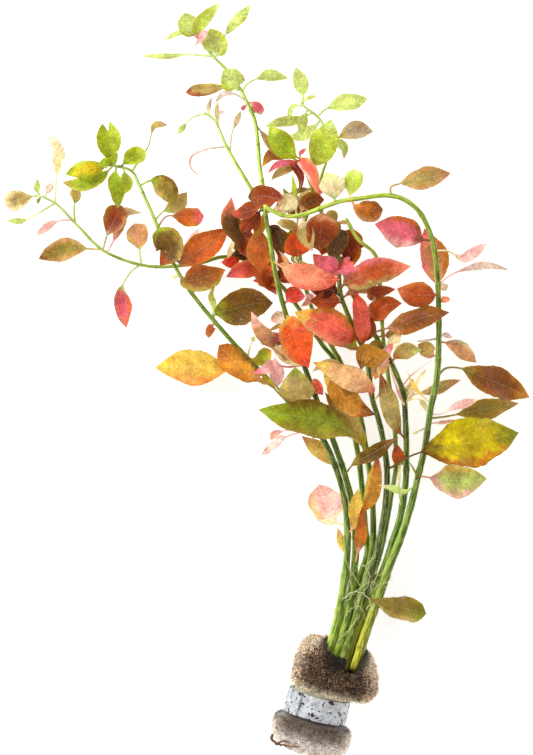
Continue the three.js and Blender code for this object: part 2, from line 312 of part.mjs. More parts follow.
  ["stem_pale", 2.8, "oval", 0.1, [45.4, 32], [43, 33.4, 31], [47, 34.6, 32], [51.4, 35.2, 32]],

  ["stem_arch", 7, "oval", 0.14, [-1.2, 68.4], [-4.4, 66.6, 46], [-9, 65.4, 44], [-13.2, 65, 42]],
  ["stem_arch", 6.2, "blunt", 0.1, [4, 65.2], [5, 70.6, 45.4], [0, 72, 44], [-7.4, 71.6, 43]],
  ["stem_arch", 6.6, "blunt", 0.06, [32.6, 70.6], [33.4, 73.4, 46], [34.4, 78, 46], [35, 82.8, 45]],
  ["stem_arch", 6.8, "oval", 0.1, [27, 69.2], [27, 72, 47], [25.6, 77, 46.6], [23.8, 81.6, 45]],
  ["stem_arch", 2.4, "oval", 0.3, [12, 64.4], [11.8, 69, 43], [11.2, 74.5, 41], [10.2, 81, 40]],
  ["stem_arch", 7.2, "oval", 0.1, [13.4, 64.4], [14.4, 67.6, 45], [18, 70.4, 44], [23, 70.6, 43]],
  ["stem_arch", 5, "oval", 0.1, [9.4, 64], [9, 66.8, 45], [7.6, 68.6, 44], [3.8, 68.4, 43]],
  ["stem_arch", 8, "blunt", 0.2, [12.4, 64.4], [12.2, 60.6, 44], [12, 54, 42], [12.6, 48, 39.6]],
  ["stem_arch", 3, "oval", 0.1, [14, 64.6], [14.6, 61.6, 45], [16, 56, 45], [18.2, 50.2, 45]],
  ["stem_arch", 10.2, "round", 0.1, [22.4, 67.4], [22, 64.4, 44.6], [21.4, 57, 42.6], [20.8, 50.4, 41]],
  ["stem_arch", 4.6, "oval", 0.3, [67.2, 50.4], [72, 50.4, 35], [78, 47.6, 34], [82, 49.4, 33],
    [88.4, 54, 31]],
  ["stem_arch", 3.2, "oval", 0.25, [68.4, 37.2], [73, 40.6, 32], [79, 43.2, 29.6], [88, 45, 27],
    [97, 43, 24]],
  ["stem_arch", 2.8, "oval", 0.1, [68.5, 30.4], [70.6, 30.8, 31], [73, 31.8, 30]],
  ["stem_arch", 2.6, "oval", 0.1, [68.4, 35], [70.4, 35.8, 33], [72.4, 37, 33]],
  ["stem_arch", 5, "oval", 0.1, [68.5, 8.4], [66, 9, 25], [64, 11, 24], [60.6, 13.4, 22]],
  ["stem_arch", 1.2, "oval", 0.3, [68.8, 15.2], [64, 14.9, 27], [60, 14.4, 26]],
  ["stem_arch", 2.2, "oval", 0.1, [68.8, 17], [71.6, 17, 29], [74.4, 15.8, 29.6]],
  ["stem_arch", 3.6, "oval", 0.3, [65.4, -14.6], [69, -14.6, 23], [76, -11.6, 22.6], [85, -8.8, 22]],
  ["stem_arch", 8.4, "oval", 0.3, [65.2, -16.4], [72, -15.6, 17.6], [80, -14, 13], [90, -12.2, 6],
    [101.6, -10.4, 0.6]],
  ["stem_arch", 1.6, "oval", 0.2, [64.8, -18], [70, -18, 18], [76.5, -17, 14]],
  ["stem_arch", 0.9, "oval", 0.5, [64.4, -20.4], [61, -21.4, 23], [58.4, -22.6, 23]],
  ["stem_arch", 3.4, "oval", 0.1, [59.6, -43.4], [55, -45.6, 25], [50, -44.4, 27], [45, -43, 28.4]],
];

const UP = new THREE.Vector3(0, 0, 1);
const vec = (point) => new THREE.Vector3(...point);
const smooth = (points) => new THREE.CatmullRomCurve3(points, false, "centripetal");

// A closed tube along a curve: section(t) gives its half width, half height and how far its edges are lifted.
function tube(curve, sides, steps, roll, section) {
  const geometry = new THREE.CylinderGeometry(1, 1, 1, sides, steps);
  geometry.deleteAttribute("normal");
  geometry.deleteAttribute("uv");
  const place = geometry.attributes.position;
  for (let i = 0; i < place.count; i += 1) {
    const t = 0.5 - place.getY(i);
    const along = curve.getTangentAt(t);
    const across = UP.clone().cross(along).normalize();
    across.applyAxisAngle(along, -roll);
    const above = along.clone().cross(across);
    const [halfWidth, halfHeight, lift] = section(t);
    const x = place.getX(i) * halfWidth;
    const z = place.getZ(i) * halfHeight + Math.abs(place.getX(i)) * lift;
    const at = curve.getPointAt(t).addScaledVector(across, x).addScaledVector(above, z);
    place.setXYZ(i, at.x, at.y, at.z);
  }
  return mergeVertices(geometry, 1e-4);
}

// How wide a blade is, from its base at 0 to its tip at 1, as a share of its full width.
function outline(shape, u) {
  const along = { oval: 0.95, round: 0.9, blunt: 1.5 }[shape];
  const fullness = { oval: 0.85, round: 0.55, blunt: 0.6 }[shape];
  return Math.sin(Math.PI * Math.min(1, u) ** along) ** fullness;
}

function leafTube(points, width, shape, stalk, roll, fold, sides, steps) {
  const section = (t) => {
    const u = Math.max(0, (t - stalk) / (1 - stalk));
    const blade = u > 0 && u < 1 ? outline(shape, u) * width * 0.5 : 0;
    const halfWidth = Math.max(blade, PETIOLE * (1 - 0.55 * t));
    return [halfWidth, LEAF_RIB * (1 - 0.4 * t), blade * Math.tan(THREE.MathUtils.degToRad(fold))];
  };
  return tube(smooth(points), sides, steps, THREE.MathUtils.degToRad(roll), section);
}

function stemTube(base, tip, points) {
  const section = (t) => {
    const radius = THREE.MathUtils.lerp(base, tip, t);
    return [radius, radius, 0];
  };
  return tube(smooth(points.map(vec)), STEM_SIDES, points.length, 0, section);
}

// The point of a stem nearest to a place on the plan, with its direction and radius there.
function nodeOn([base, tip, points], [x, y]) {
  const axis = smooth(points.map(vec)).getSpacedPoints(points.length);
  const samples = 30;
  let best = { distance: Infinity };
  for (let i = 0; i <= samples * points.length; i += 1) {
    const chord = Math.min(Math.floor(i / samples), points.length - 1);
    const point = axis[chord].clone().lerp(axis[chord + 1], i / samples - chord);
    const distance = Math.hypot(point.x - x, point.y - y);
    if (distance < best.distance) best = { distance, t: i / samples / points.length, point, chord };
  }
  const along = axis[best.chord + 1].clone().sub(axis[best.chord]).normalize();
  return { point: best.point, along, radius: THREE.MathUtils.lerp(base, tip, best.t), end: best.t > 0.985 };
}

// The midrib points of a leaf. One that is grown on its stem starts inside it, any other one just clear of it.
function midrib(stem, place, points, grownOn) {
  const node = nodeOn(stem, place);
  const reach = grownOn ? node.radius * 0.3 : node.radius + GAP + LEAF_RIB;
  const out = vec(points[0]).sub(node.point);
  if (!node.end) out.addScaledVector(node.along, -out.dot(node.along));
  out.normalize();
  const start = node.point.clone().addScaledVector(out, reach);
  return [start, ...points.map(vec)];
}

function toSolid(geometry) {
  const triVerts = new Uint32Array(geometry.index.array);
  const vertProperties = new Float32Array(geometry.attributes.position.array);
  return new wasm.Manifold(new wasm.Mesh({ numProp: 3, vertProperties, triVerts }));
}

function toGeometry(solid) {
  const mesh = solid.getMesh();
  const geometry = new THREE.BufferGeometry();
  geometry.setAttribute("position", new THREE.BufferAttribute(new Float32Array(mesh.vertProperties), 3));
  geometry.setIndex(new THREE.BufferAttribute(new Uint32Array(mesh.triVerts), 1));
  return geometry;
}

const bunch = new THREE.Group();
bunch.position.set(-MIDDLE.x, -MIDDLE.y, 0);

function addPiece(name, geometry, colour) {
  const flat = geometry.toNonIndexed();
  flat.computeVertexNormals();
  const mesh = new THREE.Mesh(flat, new THREE.MeshStandardMaterial({ metalness: 0, ...COLOURS[colour] }));
  mesh.name = name;
  bunch.add(mesh);
  return mesh;
}

// The stems, each with its own small leaves grown on it.
for (const [name, stem] of Object.entries(STEMS)) {
  let solid = toSolid(stemTube(...stem));
  if (name === "stem_tall") solid = solid.add(toSolid(stemTube(...BRANCH)));
  for (const [host, width, shape, stalk, place, ...points] of SHOOTS) {
    const onBranch = host === "branch" && name === "stem_tall";
    if (host !== name && !onBranch) continue;
    const ribs = midrib(onBranch ? BRANCH : stem, place, points, true);
    const steps = Math.max(3, ribs.length - 1);
    solid = solid.add(toSolid(leafTube(ribs, width, shape, stalk, 0, 0, 3, steps)));
  }
  addPiece(name, toGeometry(solid), "stem");
}

// The leaves that are pieces of their own stand just clear of their stems.
for (const [name, stem, colour, width, shape, stalk, roll, fold, place, ...points] of LEAVES) {
  const ribs = midrib(STEMS[stem], place, points, false);
  addPiece(name, leafTube(ribs, width, shape, stalk, roll, fold, 4, LEAF_STEPS), colour);
}

// The plug and its weight share one axis; s runs along it from the band's middle towards the stems.
const plugTurn = new THREE.Quaternion()
  .setFromAxisAngle(UP, THREE.MathUtils.degToRad(PLUG_LEAN))
  .multiply(new THREE.Quaternion().setFromAxisAngle(new THREE.Vector3(1, 0, 0), THREE.MathUtils.degToRad(PLUG_RISE)));
const plugPoint = (x, s, z) => new THREE.Vector3(x, s, z).applyQuaternion(plugTurn).add(PLUG_CENTRE);

// A closed body over rows of [s, half width, low z, high z, shift in x], its underside pressed flat at z = 0.
function sectionedBody(rows, sides) {
  const geometry = new THREE.CylinderGeometry(1, 1, rows.length - 1, sides, rows.length - 1);
  geometry.deleteAttribute("normal");
  geometry.deleteAttribute("uv");
  const place = geometry.attributes.position;
  for (let i = 0; i < place.count; i += 1) {
    const row = rows[Math.round(place.getY(i) + (rows.length - 1) / 2)];
    const [s, halfWidth, low, high, shift] = row;
    const middle = (low + high) / 2;
    const at = plugPoint(shift + place.getX(i) * halfWidth, s, middle + (place.getZ(i) * (high - low)) / 2);
    place.setXYZ(i, at.x, at.y, Math.max(0, at.z));
  }
  return mergeVertices(geometry, 1e-4);
}

const foamRows = [
  [-19.4, 7, -6, 5, 0.5], [-18, 12, -10, 10, 0.5], [-14.5, 15, -13, 14, 0], [-10, 16.2, -15, 15, -0.4],
  [-6.8, 14.6, -15, 14, -0.6], [-5.2, 10.8, -10.8, 10.8, 0], [5.2, 10.8, -10.8, 10.8, 0],
  [7, 15.6, -15.4, 15, 3.2], [11, 17.4, -17, 16, 4], [16, 17, -17.4, 16, 3], [20.5, 15.6, -17.6, 14.4, 2.2],
  [24, 13.4, -17.6, 11, 1.8], [26.4, 11, -14, 7, 1.6],
];
const pocketRows = [
  [9.6, 7.4, -8.4, 5.4, 3], [13, 8.6, -8.6, 7.2, 3.4], [19, 9.2, -8.8, 8.6, 4], [22, 9.4, -9, 10.5, 4.4],
  [26, 9.8, -9.4, 20, 5], [34, 10.4, -9.4, 30, 6],
];
// On the right the outer stems have torn the foam open further down.
const notchRows = [[13, 2.6, 0, 8, 8.4], [16, 3.8, -2, 20, 9.2], [24, 4.4, -3, 26, 9.4],
[34, 4.8, -4, 30, 10.4]];
const foam = toSolid(sectionedBody(foamRows, 16))
  .subtract(toSolid(sectionedBody(pocketRows, 12)))
  .subtract(toSolid(sectionedBody(notchRows, 8)));
addPiece("foam_plug", toGeometry(foam), "foam");

// The weight is one strip wrapped round the foam, its end lapped over its start.
const strip = new THREE.Shape();
const lapStart = THREE.MathUtils.degToRad(172);
const lapEnd = lapStart + THREE.MathUtils.degToRad(BAND_LAP);
strip.absarc(0, 0, BAND_RADIUS, lapEnd, lapStart + 2 * Math.PI, false);
strip.absarc(0, 0, BAND_RADIUS + BAND_THICK, lapStart, lapEnd, false);
strip.closePath();
const bore = new THREE.Path();
bore.absarc(0, 0, BAND_RADIUS - BAND_THICK, 0, 2 * Math.PI, true);
strip.holes.push(bore);
const bandGeometry = new THREE.ExtrudeGeometry(strip, {
  depth: BAND_HEIGHT, curveSegments: 24, bevelEnabled: false,
});
bandGeometry.deleteAttribute("normal");
bandGeometry.deleteAttribute("uv");
bandGeometry.translate(0, 0, -BAND_HEIGHT / 2);
bandGeometry.rotateX(-Math.PI / 2);
bandGeometry.applyQuaternion(plugTurn);
bandGeometry.translate(...PLUG_CENTRE);
addPiece("weight_band", mergeVertices(bandGeometry, 1e-4), "weight");

export default bunch;
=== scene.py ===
# %% [markdown]
# A bunch of ludwigia ovalis lies on its back on a pale surface. Eight stems stand in a plug of brown foam
# that a strip of soft metal weighs down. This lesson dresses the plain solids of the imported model: every
# stem, leaf, the foam and the strip get a finer mesh and a material of their own, in the same place.

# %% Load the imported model
import math
import bpy
import numpy as np
from mathutils import Matrix, Vector, noise


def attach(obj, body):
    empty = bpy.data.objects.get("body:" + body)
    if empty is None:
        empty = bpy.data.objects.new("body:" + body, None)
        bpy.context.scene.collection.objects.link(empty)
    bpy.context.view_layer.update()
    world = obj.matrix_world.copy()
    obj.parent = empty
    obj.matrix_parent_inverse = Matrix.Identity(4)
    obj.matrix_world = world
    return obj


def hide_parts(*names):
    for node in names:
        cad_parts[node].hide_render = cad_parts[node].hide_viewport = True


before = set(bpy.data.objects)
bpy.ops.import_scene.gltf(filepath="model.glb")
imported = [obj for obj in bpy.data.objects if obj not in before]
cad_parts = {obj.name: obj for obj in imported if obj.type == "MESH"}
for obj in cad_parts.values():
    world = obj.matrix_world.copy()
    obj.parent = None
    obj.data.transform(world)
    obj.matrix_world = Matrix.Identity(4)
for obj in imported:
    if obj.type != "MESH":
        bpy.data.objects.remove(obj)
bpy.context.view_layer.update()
MM = 0.001
# Places in the tables below are millimetres on the plan of the bunch, seen from above.
# MIDDLE is the middle of its outline on that plan, which is where the frame has its origin.
MIDDLE = np.array((0.3, -0.8, 0.0))


# %% [markdown]
# A bunch like this is mostly colour: the same plant carries lime, olive, copper, coral and near-black
# leaves. The palette names each tone once, so that a leaf can be described in words. Blender's shaders
# work in linear light, so the screen colours are turned into linear ones first.

# %% Palette
PALETTE = {
    "neon": "c9dc50", "lime": "a6bd40", "spring": "b8cc78", "straw": "e0c066", "green": "8ca41e",
    "moss": "768618", "leek": "62801e", "pine": "384a12", "citron": "c2b20a", "olive": "887a30",
    "bark": "5e460d", "khaki": "aa985a", "cream": "e6d6a8", "gold": "e0b84c", "amber": "be842a",
    "copper": "b0641c", "orange": "d07238", "peach": "e6ae7c", "tan": "ba8a62", "rust": "ac4c1e",
    "russet": "8a3a1a", "brown": "7c4a1e", "umber": "5a4220", "maroon": "64200e", "soot": "36200e",
    "flame": "e2541c", "red": "c63a28", "coral": "e25e4c", "salmon": "ea8266", "rose": "d8647a",
    "pink": "efb2b2", "blush": "f2d6d2", "grey": "b2a68c",
}


def linear(tone):
    """A palette tone as linear red, green and blue."""
    screen = np.array([int(PALETTE[tone][i:i + 2], 16) / 255 for i in (0, 2, 4)])
    return np.where(screen <= 0.04045, screen / 12.92, ((screen + 0.055) / 1.055) ** 2.4)


print(len(PALETTE), "tones")


# %% [markdown]
# The stems rise from the plug and spread. Each row gives a stem's radius at the plug and at the crown, and
# the points that it passes. One tall stem has a side branch.

# %% Stems
STEMS = {
    "left": (1.5, 0.6, [(22.2, -118, 17.6), (26.6, -104, 18.7), (29.3, -92, 19.2), (31.6, -78, 19.5),
        (32.4, -66, 19.6), (31.4, -50, 20.5), (28, -37, 22), (22.8, -25, 24), (13.6, -14.8, 26),
        (-3.2, 3.2, 27), (-15.2, 16, 27), (-30.4, 34.4, 26), (-37.6, 46.4, 24), (-43.2, 59.6, 22),
        (-50.8, 76.6, 20), (-54, 82.6, 20), (-62.4, 85.2, 20)]),
    "tall": (1.5, 0.6, [(25.7, -118, 16.9), (30.1, -104, 17.9), (32.8, -92, 17.4), (35, -78, 16.4),
        (35.8, -66, 15.8), (34.6, -52, 17), (31.4, -39, 19), (26.6, -25, 20.6), (20.8, -10.8, 23),
        (15.6, 3.2, 26), (8.4, 23.2, 30), (4, 39.2, 34), (1.6, 53.2, 36), (-0.4, 65.2, 36), (-1.2, 74, 34),
        (-2.8, 85.2, 31), (-3.6, 95.2, 28), (-4.8, 103.2, 26), (-8, 110.4, 24), (-10.4, 115.2, 22),
        (-16.4, 123.6, 19), (-20.8, 128, 18), (-27.6, 136.4, 17)]),
    "low": (1.4, 0.5, [(23.9, -118, 13.9), (28.3, -104, 14.4), (32.5, -92, 13.3), (37.5, -80, 11.8),
        (40.6, -70, 11.4), (39.6, -60.8, 11.4), (38.4, -44.8, 11.5), (36.4, -28.8, 12), (31.6, -8.8, 12),
        (27.6, 6.4, 12), (22.4, 13.2, 12), (12.4, 28.4, 12), (5.6, 37.2, 12), (-6.4, 46.4, 12),
        (-17.6, 48.4, 12), (-26.4, 46, 12), (-42.4, 44.4, 12), (-50.4, 45.2, 12), (-58.4, 47.6, 12),
        (-66.4, 51.6, 11.5), (-77.2, 62.4, 10), (-84.8, 70, 9), (-91.2, 73.2, 8.5)]),
    "back": (1.4, 0.5, [(27.3, -118, 14.1), (31.7, -104, 14.9), (36, -92, 15.3), (40.2, -80, 15.5),
        (42.6, -66.8, 15.6), (42.4, -48.8, 15.8), (40, -28.8, 16), (36, -8.8, 16), (29.6, 6.4, 16.4),
        (26.4, 12, 16.4), (18.4, 27.2, 16.4), (13.6, 47.2, 16.4), (13.6, 55.2, 16.4), (15.6, 63.2, 17),
        (19.6, 73.2, 18), (22.4, 82, 19), (24.8, 91.2, 20), (22.4, 101.6, 19), (20.4, 104.4, 18.5),
        (14.2, 109.3, 17.5)]),
    "dark": (1.5, 0.8, [(29.2, -118, 17.4), (33.6, -104, 18.6), (38, -90, 19.2), (41.6, -78, 19.8),
        (44, -70.8, 20), (46.8, -56.8, 20.5), (47.8, -48.8, 21), (48.2, -36.8, 22), (46.6, -24.8, 23),
        (44.8, -16.8, 24), (42.4, -8.8, 25), (39.6, 9.2, 27), (36.8, 15.2, 28), (31.6, 27.2, 30),
        (29.6, 33.2, 31), (28.8, 45, 31), (28.8, 62.4, 30)]),
    "thick": (1.6, 0.7, [(31.4, -118, 14.2), (36, -104, 15.2), (41, -92, 15.9), (46, -80, 16.5),
        (50.4, -66.8, 17), (54.2, -52.8, 18), (55.8, -40.8, 19), (56, -28.8, 20), (55.6, -16.8, 21),
        (54.8, -6.8, 22), (52.8, -0.8, 22), (49.6, 6.4, 22), (45.6, 13.2, 22), (41.6, 20, 22),
        (35.6, 31.2, 22), (29.6, 45.2, 22.5), (24, 60, 24), (19, 74, 26), (13.6, 87.2, 28)]),
    "pale": (1.1, 0.7, [(28.9, -118, 10.8), (33.5, -104, 11.4), (39, -90, 12), (44, -76, 12.8),
        (47.5, -62, 14.2), (49.8, -48.8, 15.5), (51.8, -36, 16.2), (51.8, -28.8, 16.5), (51.4, -20.8, 17),
        (50, -8.8, 18), (48.4, 3.2, 18), (46.8, 15.2, 19), (45.6, 31.2, 24), (43.6, 48.4, 32),
        (36.4, 55.2, 36.5), (31.4, 63.4, 39.5)]),
    "arch": (1.6, 0.8, [(34.8, -118, 17.4), (39.2, -104, 18.6), (42.6, -94, 19.5), (46, -84.8, 20.5),
        (49.4, -74.8, 21), (53, -66, 21.3), (57.4, -52.8, 21.6), (60.8, -38.8, 22), (63.2, -28.8, 22.5),
        (65.6, -12.8, 23.5), (68, -0.8, 25), (68.8, 15.2, 28), (68.4, 35.2, 32), (67.6, 45.2, 34),
        (66.4, 53.2, 36), (63.6, 61.2, 38), (59.6, 67.2, 40), (53.6, 71.2, 42), (47.6, 72.4, 43),
        (37.6, 71.2, 44), (29.6, 70, 45), (23.6, 68, 46), (13.6, 64.4, 46.5), (7.6, 64, 47),
        (1.6, 66.4, 48), (-1.2, 68.4, 48.5)]),
}
BRANCH = (0.8, 0.5, [(-1.4, 66, 36), (-5.6, 74.4, 34), (-11.6, 84.4, 31), (-16, 92.4, 28),
    (-21.2, 103.2, 26), (-25.2, 106, 25)])


# %% [markdown]
# The larger leaves are pieces of their own. A row names the leaf, its stem, its material slot, its width,
# the form of its blade, the share of its length that is stalk, its roll and its fold in degrees, five tones
# (base, heart, tip, left edge, right edge), where it sits on the stem, and the points of its midrib.

# %% Larger leaves
LEAVES = [
    ("low_tip", "low", "olive", 8, "blunt", 0.1, 10, 10, "spring khaki cream cream cream", (-91.2, 73.2),
        [(-95.5, 72.6, 7), (-100, 71.5, 5), (-105.4, 69.6, 0.5)]),
    ("low_tall", "low", "pink", 5.6, "oval", 0.34, 10, 18, "cream cream blush blush blush", (-84.8, 70),
        [(-84.6, 77, 10), (-83.8, 84, 12), (-83.8, 92, 13), (-88.6, 98.8, 10)]),
    ("low_brown", "low", "brown", 9, "oval", 0.22, 10, 14, "khaki olive brown tan tan", (-66.6, 51.5),
        [(-72, 51.8, 8), (-77, 52.2, 6.5), (-84, 51, 4.5), (-91.8, 47.8, 0.5)]),
    ("low_fan", "low", "red", 9.5, "blunt", 0.26, 0, 16, "grey russet brown brown tan", (-65, 52.2),
        [(-63.8, 57.5, 13), (-61.6, 62, 13), (-58, 69, 12)]),
    ("low_spoon", "low", "olive", 8.8, "blunt", 0.3, 0, 12, "spring tan tan khaki tan", (-50.4, 45.4),
        [(-50.8, 50, 13), (-51.2, 55, 13), (-53, 61.8, 12)]),
    ("low_hanging", "low", "pink", 7.4, "oval", 0.34, 12, 24, "spring rose salmon coral rose", (-50.8, 45),
        [(-54.4, 42.4, 12), (-58.4, 35.2, 10), (-58, 28, 7), (-56.4, 20, 4)]),
    ("left_north", "left", "olive", 7.6, "oval", 0.1, -12, 14, "moss green green green lime", (-62.4, 85.2),
        [(-63.6, 91, 23), (-65.2, 97, 25), (-65.6, 101.6, 25)]),
    ("left_west", "left", "olive", 7, "oval", 0.1, 6, 12, "moss citron green green lime", (-62, 85.1),
        [(-67, 84.2, 22), (-74, 83, 22), (-80.6, 81.2, 20)]),
    ("left_west_low", "left", "green", 6.8, "oval", 0.1, -8, 12, "lime green olive lime green", (-61, 84.9),
        [(-66, 80.8, 17), (-74, 77.6, 15.5), (-82, 78.2, 13)]),
    ("left_south", "left", "green", 6.6, "oval", 0.08, 8, 14, "green green lime green moss", (-60, 84.6),
        [(-60.6, 79, 22.5), (-59.8, 74, 22.5), (-59.4, 67.8, 20)]),
    ("left_east", "left", "green", 7, "blunt", 0.08, 0, 10, "moss green lime green lime", (-58.4, 84.2),
        [(-56.5, 86, 22), (-52.5, 88.6, 23), (-48.2, 90.2, 22)]),
    ("left_wing", "left", "olive", 9, "oval", 0.22, 0, 16, "green olive olive umber khaki", (-50.8, 76.8),
        [(-46, 78.8, 21), (-41, 76.5, 22), (-36.6, 69, 20)]),
    ("left_coral", "left", "pink", 7.6, "blunt", 0.38, 0, 14, "tan orange rose salmon copper",
        (-43.4, 60.4), [(-40, 64.6, 16), (-34.5, 64.6, 12), (-30, 64.6, 10), (-25.2, 64.8, 8)]),
    ("left_dark", "left", "brown", 11.5, "oval", 0.06, 0, 12, "green bark russet olive umber",
        (-43.6, 60.4), [(-41.8, 57.5, 27), (-38, 51.4, 28), (-42.6, 44.6, 28)]),
    ("left_red", "left", "red", 11.4, "oval", 0.1, 0, 12, "tan orange rust rust flame", (-38, 47.2),
        [(-34, 46.4, 20), (-25, 52.4, 18), (-14.8, 59.8, 17)]),
    ("left_olive", "left", "olive", 10.8, "oval", 0.06, 0, 14, "olive brown copper russet olive",
        (-34.2, 40.6), [(-32.4, 38.6, 29), (-25.5, 39.6, 30), (-16.4, 43, 27)]),
    ("left_big", "left", "brown", 14.5, "oval", 0.08, 6, 14, "moss bark umber umber bark", (-21.6, 24),
        [(-19.5, 25.8, 30), (-14, 27, 31), (-5, 29.4, 29.5), (2.6, 29.8, 26)]),
    ("left_gold", "left", "yellow", 14.5, "oval", 0.3, 0, 10, "amber gold gold orange gold", (-4, 3.6),
        [(-10, 2.8, 20), (-19, 3.4, 15), (-32, 4.4, 7), (-44.8, 4, 0.8)]),
    ("left_orange", "left", "yellow", 10.6, "blunt", 0.2, 0, 12, "tan amber copper copper bark", (4, -4.6),
        [(-1, -1.8, 31), (-9, 3, 32), (-19, 12.9, 30)]),
    ("left_peach", "left", "pink", 13.4, "round", 0.18, 0, 12, "cream pink pink peach pink", (31.8, -59.6),
        [(27.4, -57.6, 17), (24.6, -52, 14), (21, -43, 9)]),
    ("top_round", "tall", "green", 8.6, "round", 0.1, 0, 8, "spring spring spring lime spring",
        (-27.6, 136.4), [(-30, 138.4, 18), (-31.4, 141.6, 18), (-32.6, 146.3, 18)]),
    ("top_green", "tall", "green", 6, "oval", 0.08, 24, 12, "lime lime spring lime spring", (-27, 135.8),
        [(-27.4, 138.6, 22), (-25.5, 142.4, 23), (-18.4, 150, 22)]),
    ("top_right", "tall", "green", 4.8, "oval", 0.34, 10, 14, "spring spring spring spring lime",
        (-22.5, 130.2), [(-19, 133.6, 14), (-16.5, 137.5, 12), (-12, 143, 7), (-6.2, 150.4, 0.5)]),
    ("top_cup", "tall", "green", 9.8, "round", 0.1, 0, 10, "spring spring lime spring lime", (-20.6, 127.8),
        [(-19.8, 130.4, 20.4), (-20.8, 134.4, 21.4), (-22.6, 139.6, 24)]),
    ("high_round", "tall", "yellow", 9.4, "round", 0.06, 0, 10, "spring spring spring lime spring",
        (-11, 116.2), [(-12, 117.2, 25), (-14.4, 119.6, 26), (-17.3, 122.8, 26)]),
    ("high_left", "tall", "olive", 5, "blunt", 0.2, 0, 16, "spring khaki russet brown khaki",
        (-10.4, 115.2), [(-15, 116.2, 19), (-22, 115.8, 17), (-32.4, 114.4, 12)]),
    ("tall_hanging", "tall", "yellow", 10, "oval", 0.24, 0, 12, "copper orange copper amber orange",
        (-0.2, 64), [(-2.6, 59.6, 31), (-2.9, 51, 29), (0.4, 40, 27)]),
    ("tall_coral", "tall", "pink", 10.8, "oval", 0.16, 0, 10, "peach salmon coral salmon coral",
        (2.6, 46.4), [(7, 43.4, 40), (13, 40.8, 42), (21, 38.8, 43), (29.2, 39, 42)]),
    ("tall_flame", "tall", "red", 13.2, "oval", 0.05, 0, 12, "gold flame red flame orange", (7.8, 25),
        [(9.4, 22.4, 35), (11.8, 14, 37), (16.8, 3.8, 35)]),
    ("tall_orange", "tall", "yellow", 6.6, "oval", 0.24, 0, 18, "amber amber orange gold amber",
        (35.4, -61), [(37.6, -55, 21), (41.6, -48, 23.4), (43.4, -40, 25), (44.4, -31, 26)]),
    ("back_north", "back", "green", 6.2, "oval", 0.2, 0, 12, "spring spring spring spring spring",
        (14.2, 109.3), [(14.6, 113, 19), (13.6, 118, 20), (11.6, 124.4, 20)]),
    ("back_east", "back", "green", 7.2, "oval", 0.22, 0, 12, "spring spring spring spring spring",
        (20.4, 104.4), [(23.5, 107.4, 17), (31, 110, 15), (40.8, 112, 10)]),
    ("crown_green", "thick", "green", 9.4, "oval", 0.06, 0, 12, "green green lime green moss", (13.6, 87.2),
        [(10.6, 88.8, 29), (5.5, 94, 30), (1, 100.4, 28)]),
    ("crown_bright", "thick", "green", 11.4, "oval", 0.14, 0, 12, "green lime spring lime lime", (15, 83.8),
        [(18.6, 85.6, 31), (23, 93.5, 32), (25.8, 103.2, 30)]),
    ("crown_band", "thick", "red", 5.6, "oval", 0.06, 0, 14, "rust coral salmon tan pink", (14, 86.2),
        [(14.4, 86, 35), (18, 81.5, 37), (20.4, 73, 38)]),
    ("arch_brown", "arch", "brown", 9, "oval", 0.24, 0, 14, "khaki khaki tan tan tan", (49.4, 72.2),
        [(49.4, 75.6, 43.5), (53, 77, 43), (62, 79, 41), (73.4, 81.4, 38)]),
    ("arch_pink", "arch", "pink", 12.6, "oval", 0.12, 0, 12, "brown rose rose pink rust", (66, 54.4),
        [(61.8, 55, 38), (54, 58, 41), (43, 61, 42)]),
    ("arch_under", "arch", "pink", 11.4, "oval", 0.08, 0, 12, "tan tan rose rose copper", (68.5, 35.6),
        [(68, 38.6, 28), (67.4, 46, 27), (63, 59.6, 29)]),
    ("arch_rust", "arch", "brown", 8.4, "blunt", 0.12, 0, 4, "amber copper brown brown tan", (33.4, 70.6),
        [(36, 67.4, 48), (41, 66, 49), (46.2, 66.6, 48)]),
    ("arch_big", "arch", "brown", 12.6, "oval", 0.22, 6, 12, "olive brown amber brown brown", (68.2, 1),
        [(71.4, 3.6, 24), (77, 3.8, 22), (86, 0.4, 18), (96, -3.6, 9), (106, -8, 0.5)]),
    ("arch_tan", "arch", "brown", 6.6, "oval", 0.1, 0, 12, "tan tan tan grey tan", (68.8, 14),
        [(72, 13.8, 26), (78, 11, 24), (84, 6, 20)]),
    ("arch_red", "arch", "red", 10.2, "oval", 0.08, 0, 12, "rust rust orange russet orange", (68.4, 33.6),
        [(65.4, 32.8, 35.5), (59, 33, 37), (52, 35.4, 35)]),
    ("arch_low", "arch", "yellow", 13.2, "oval", 0.14, 0, 10, "pink spring spring straw pink",
        (60.6, -39.4), [(64, -39.8, 20), (70, -41, 15), (80, -41.6, 9), (88.8, -40.6, 4)]),
    ("arch_foot", "arch", "olive", 9.6, "blunt", 0.08, 0, 12, "olive olive moss olive khaki", (38.6, -87.2),
        [(41.2, -88.4, 23), (49.6, -91.2, 18.6), (64.2, -95, 6)]),
    ("centre_wide", "dark", "yellow", 20, "oval", 0.26, 0, 12, "bark citron moss citron copper",
        (48.2, -36.4), [(51.6, -35, 25), (57, -31.6, 27.5), (64, -29.2, 27.5), (76, -27, 24), (88, -25, 17),
        (101.4, -22.2, 9)]),
    ("centre_rust", "dark", "red", 13, "oval", 0.08, 0, 14, "rust coral gold salmon copper", (37, 14.8),
        [(33, 16, 34), (24, 21, 38), (11, 26, 37)]),
    ("centre_tan", "dark", "olive", 11, "oval", 0.08, 0, 14, "tan rust salmon rose khaki", (29.4, 36.4),
        [(33, 38.2, 38), (40, 41, 41), (48, 43, 41), (57.4, 44.2, 38)]),
    ("centre_green", "back", "green", 14.6, "oval", 0.28, 0, 10, "olive moss green olive bark", (41, -35),
        [(36.8, -25, 26), (28, -19, 30), (16, -16, 33), (5, -14.5, 33.5), (-3.2, -12.8, 32)]),
]


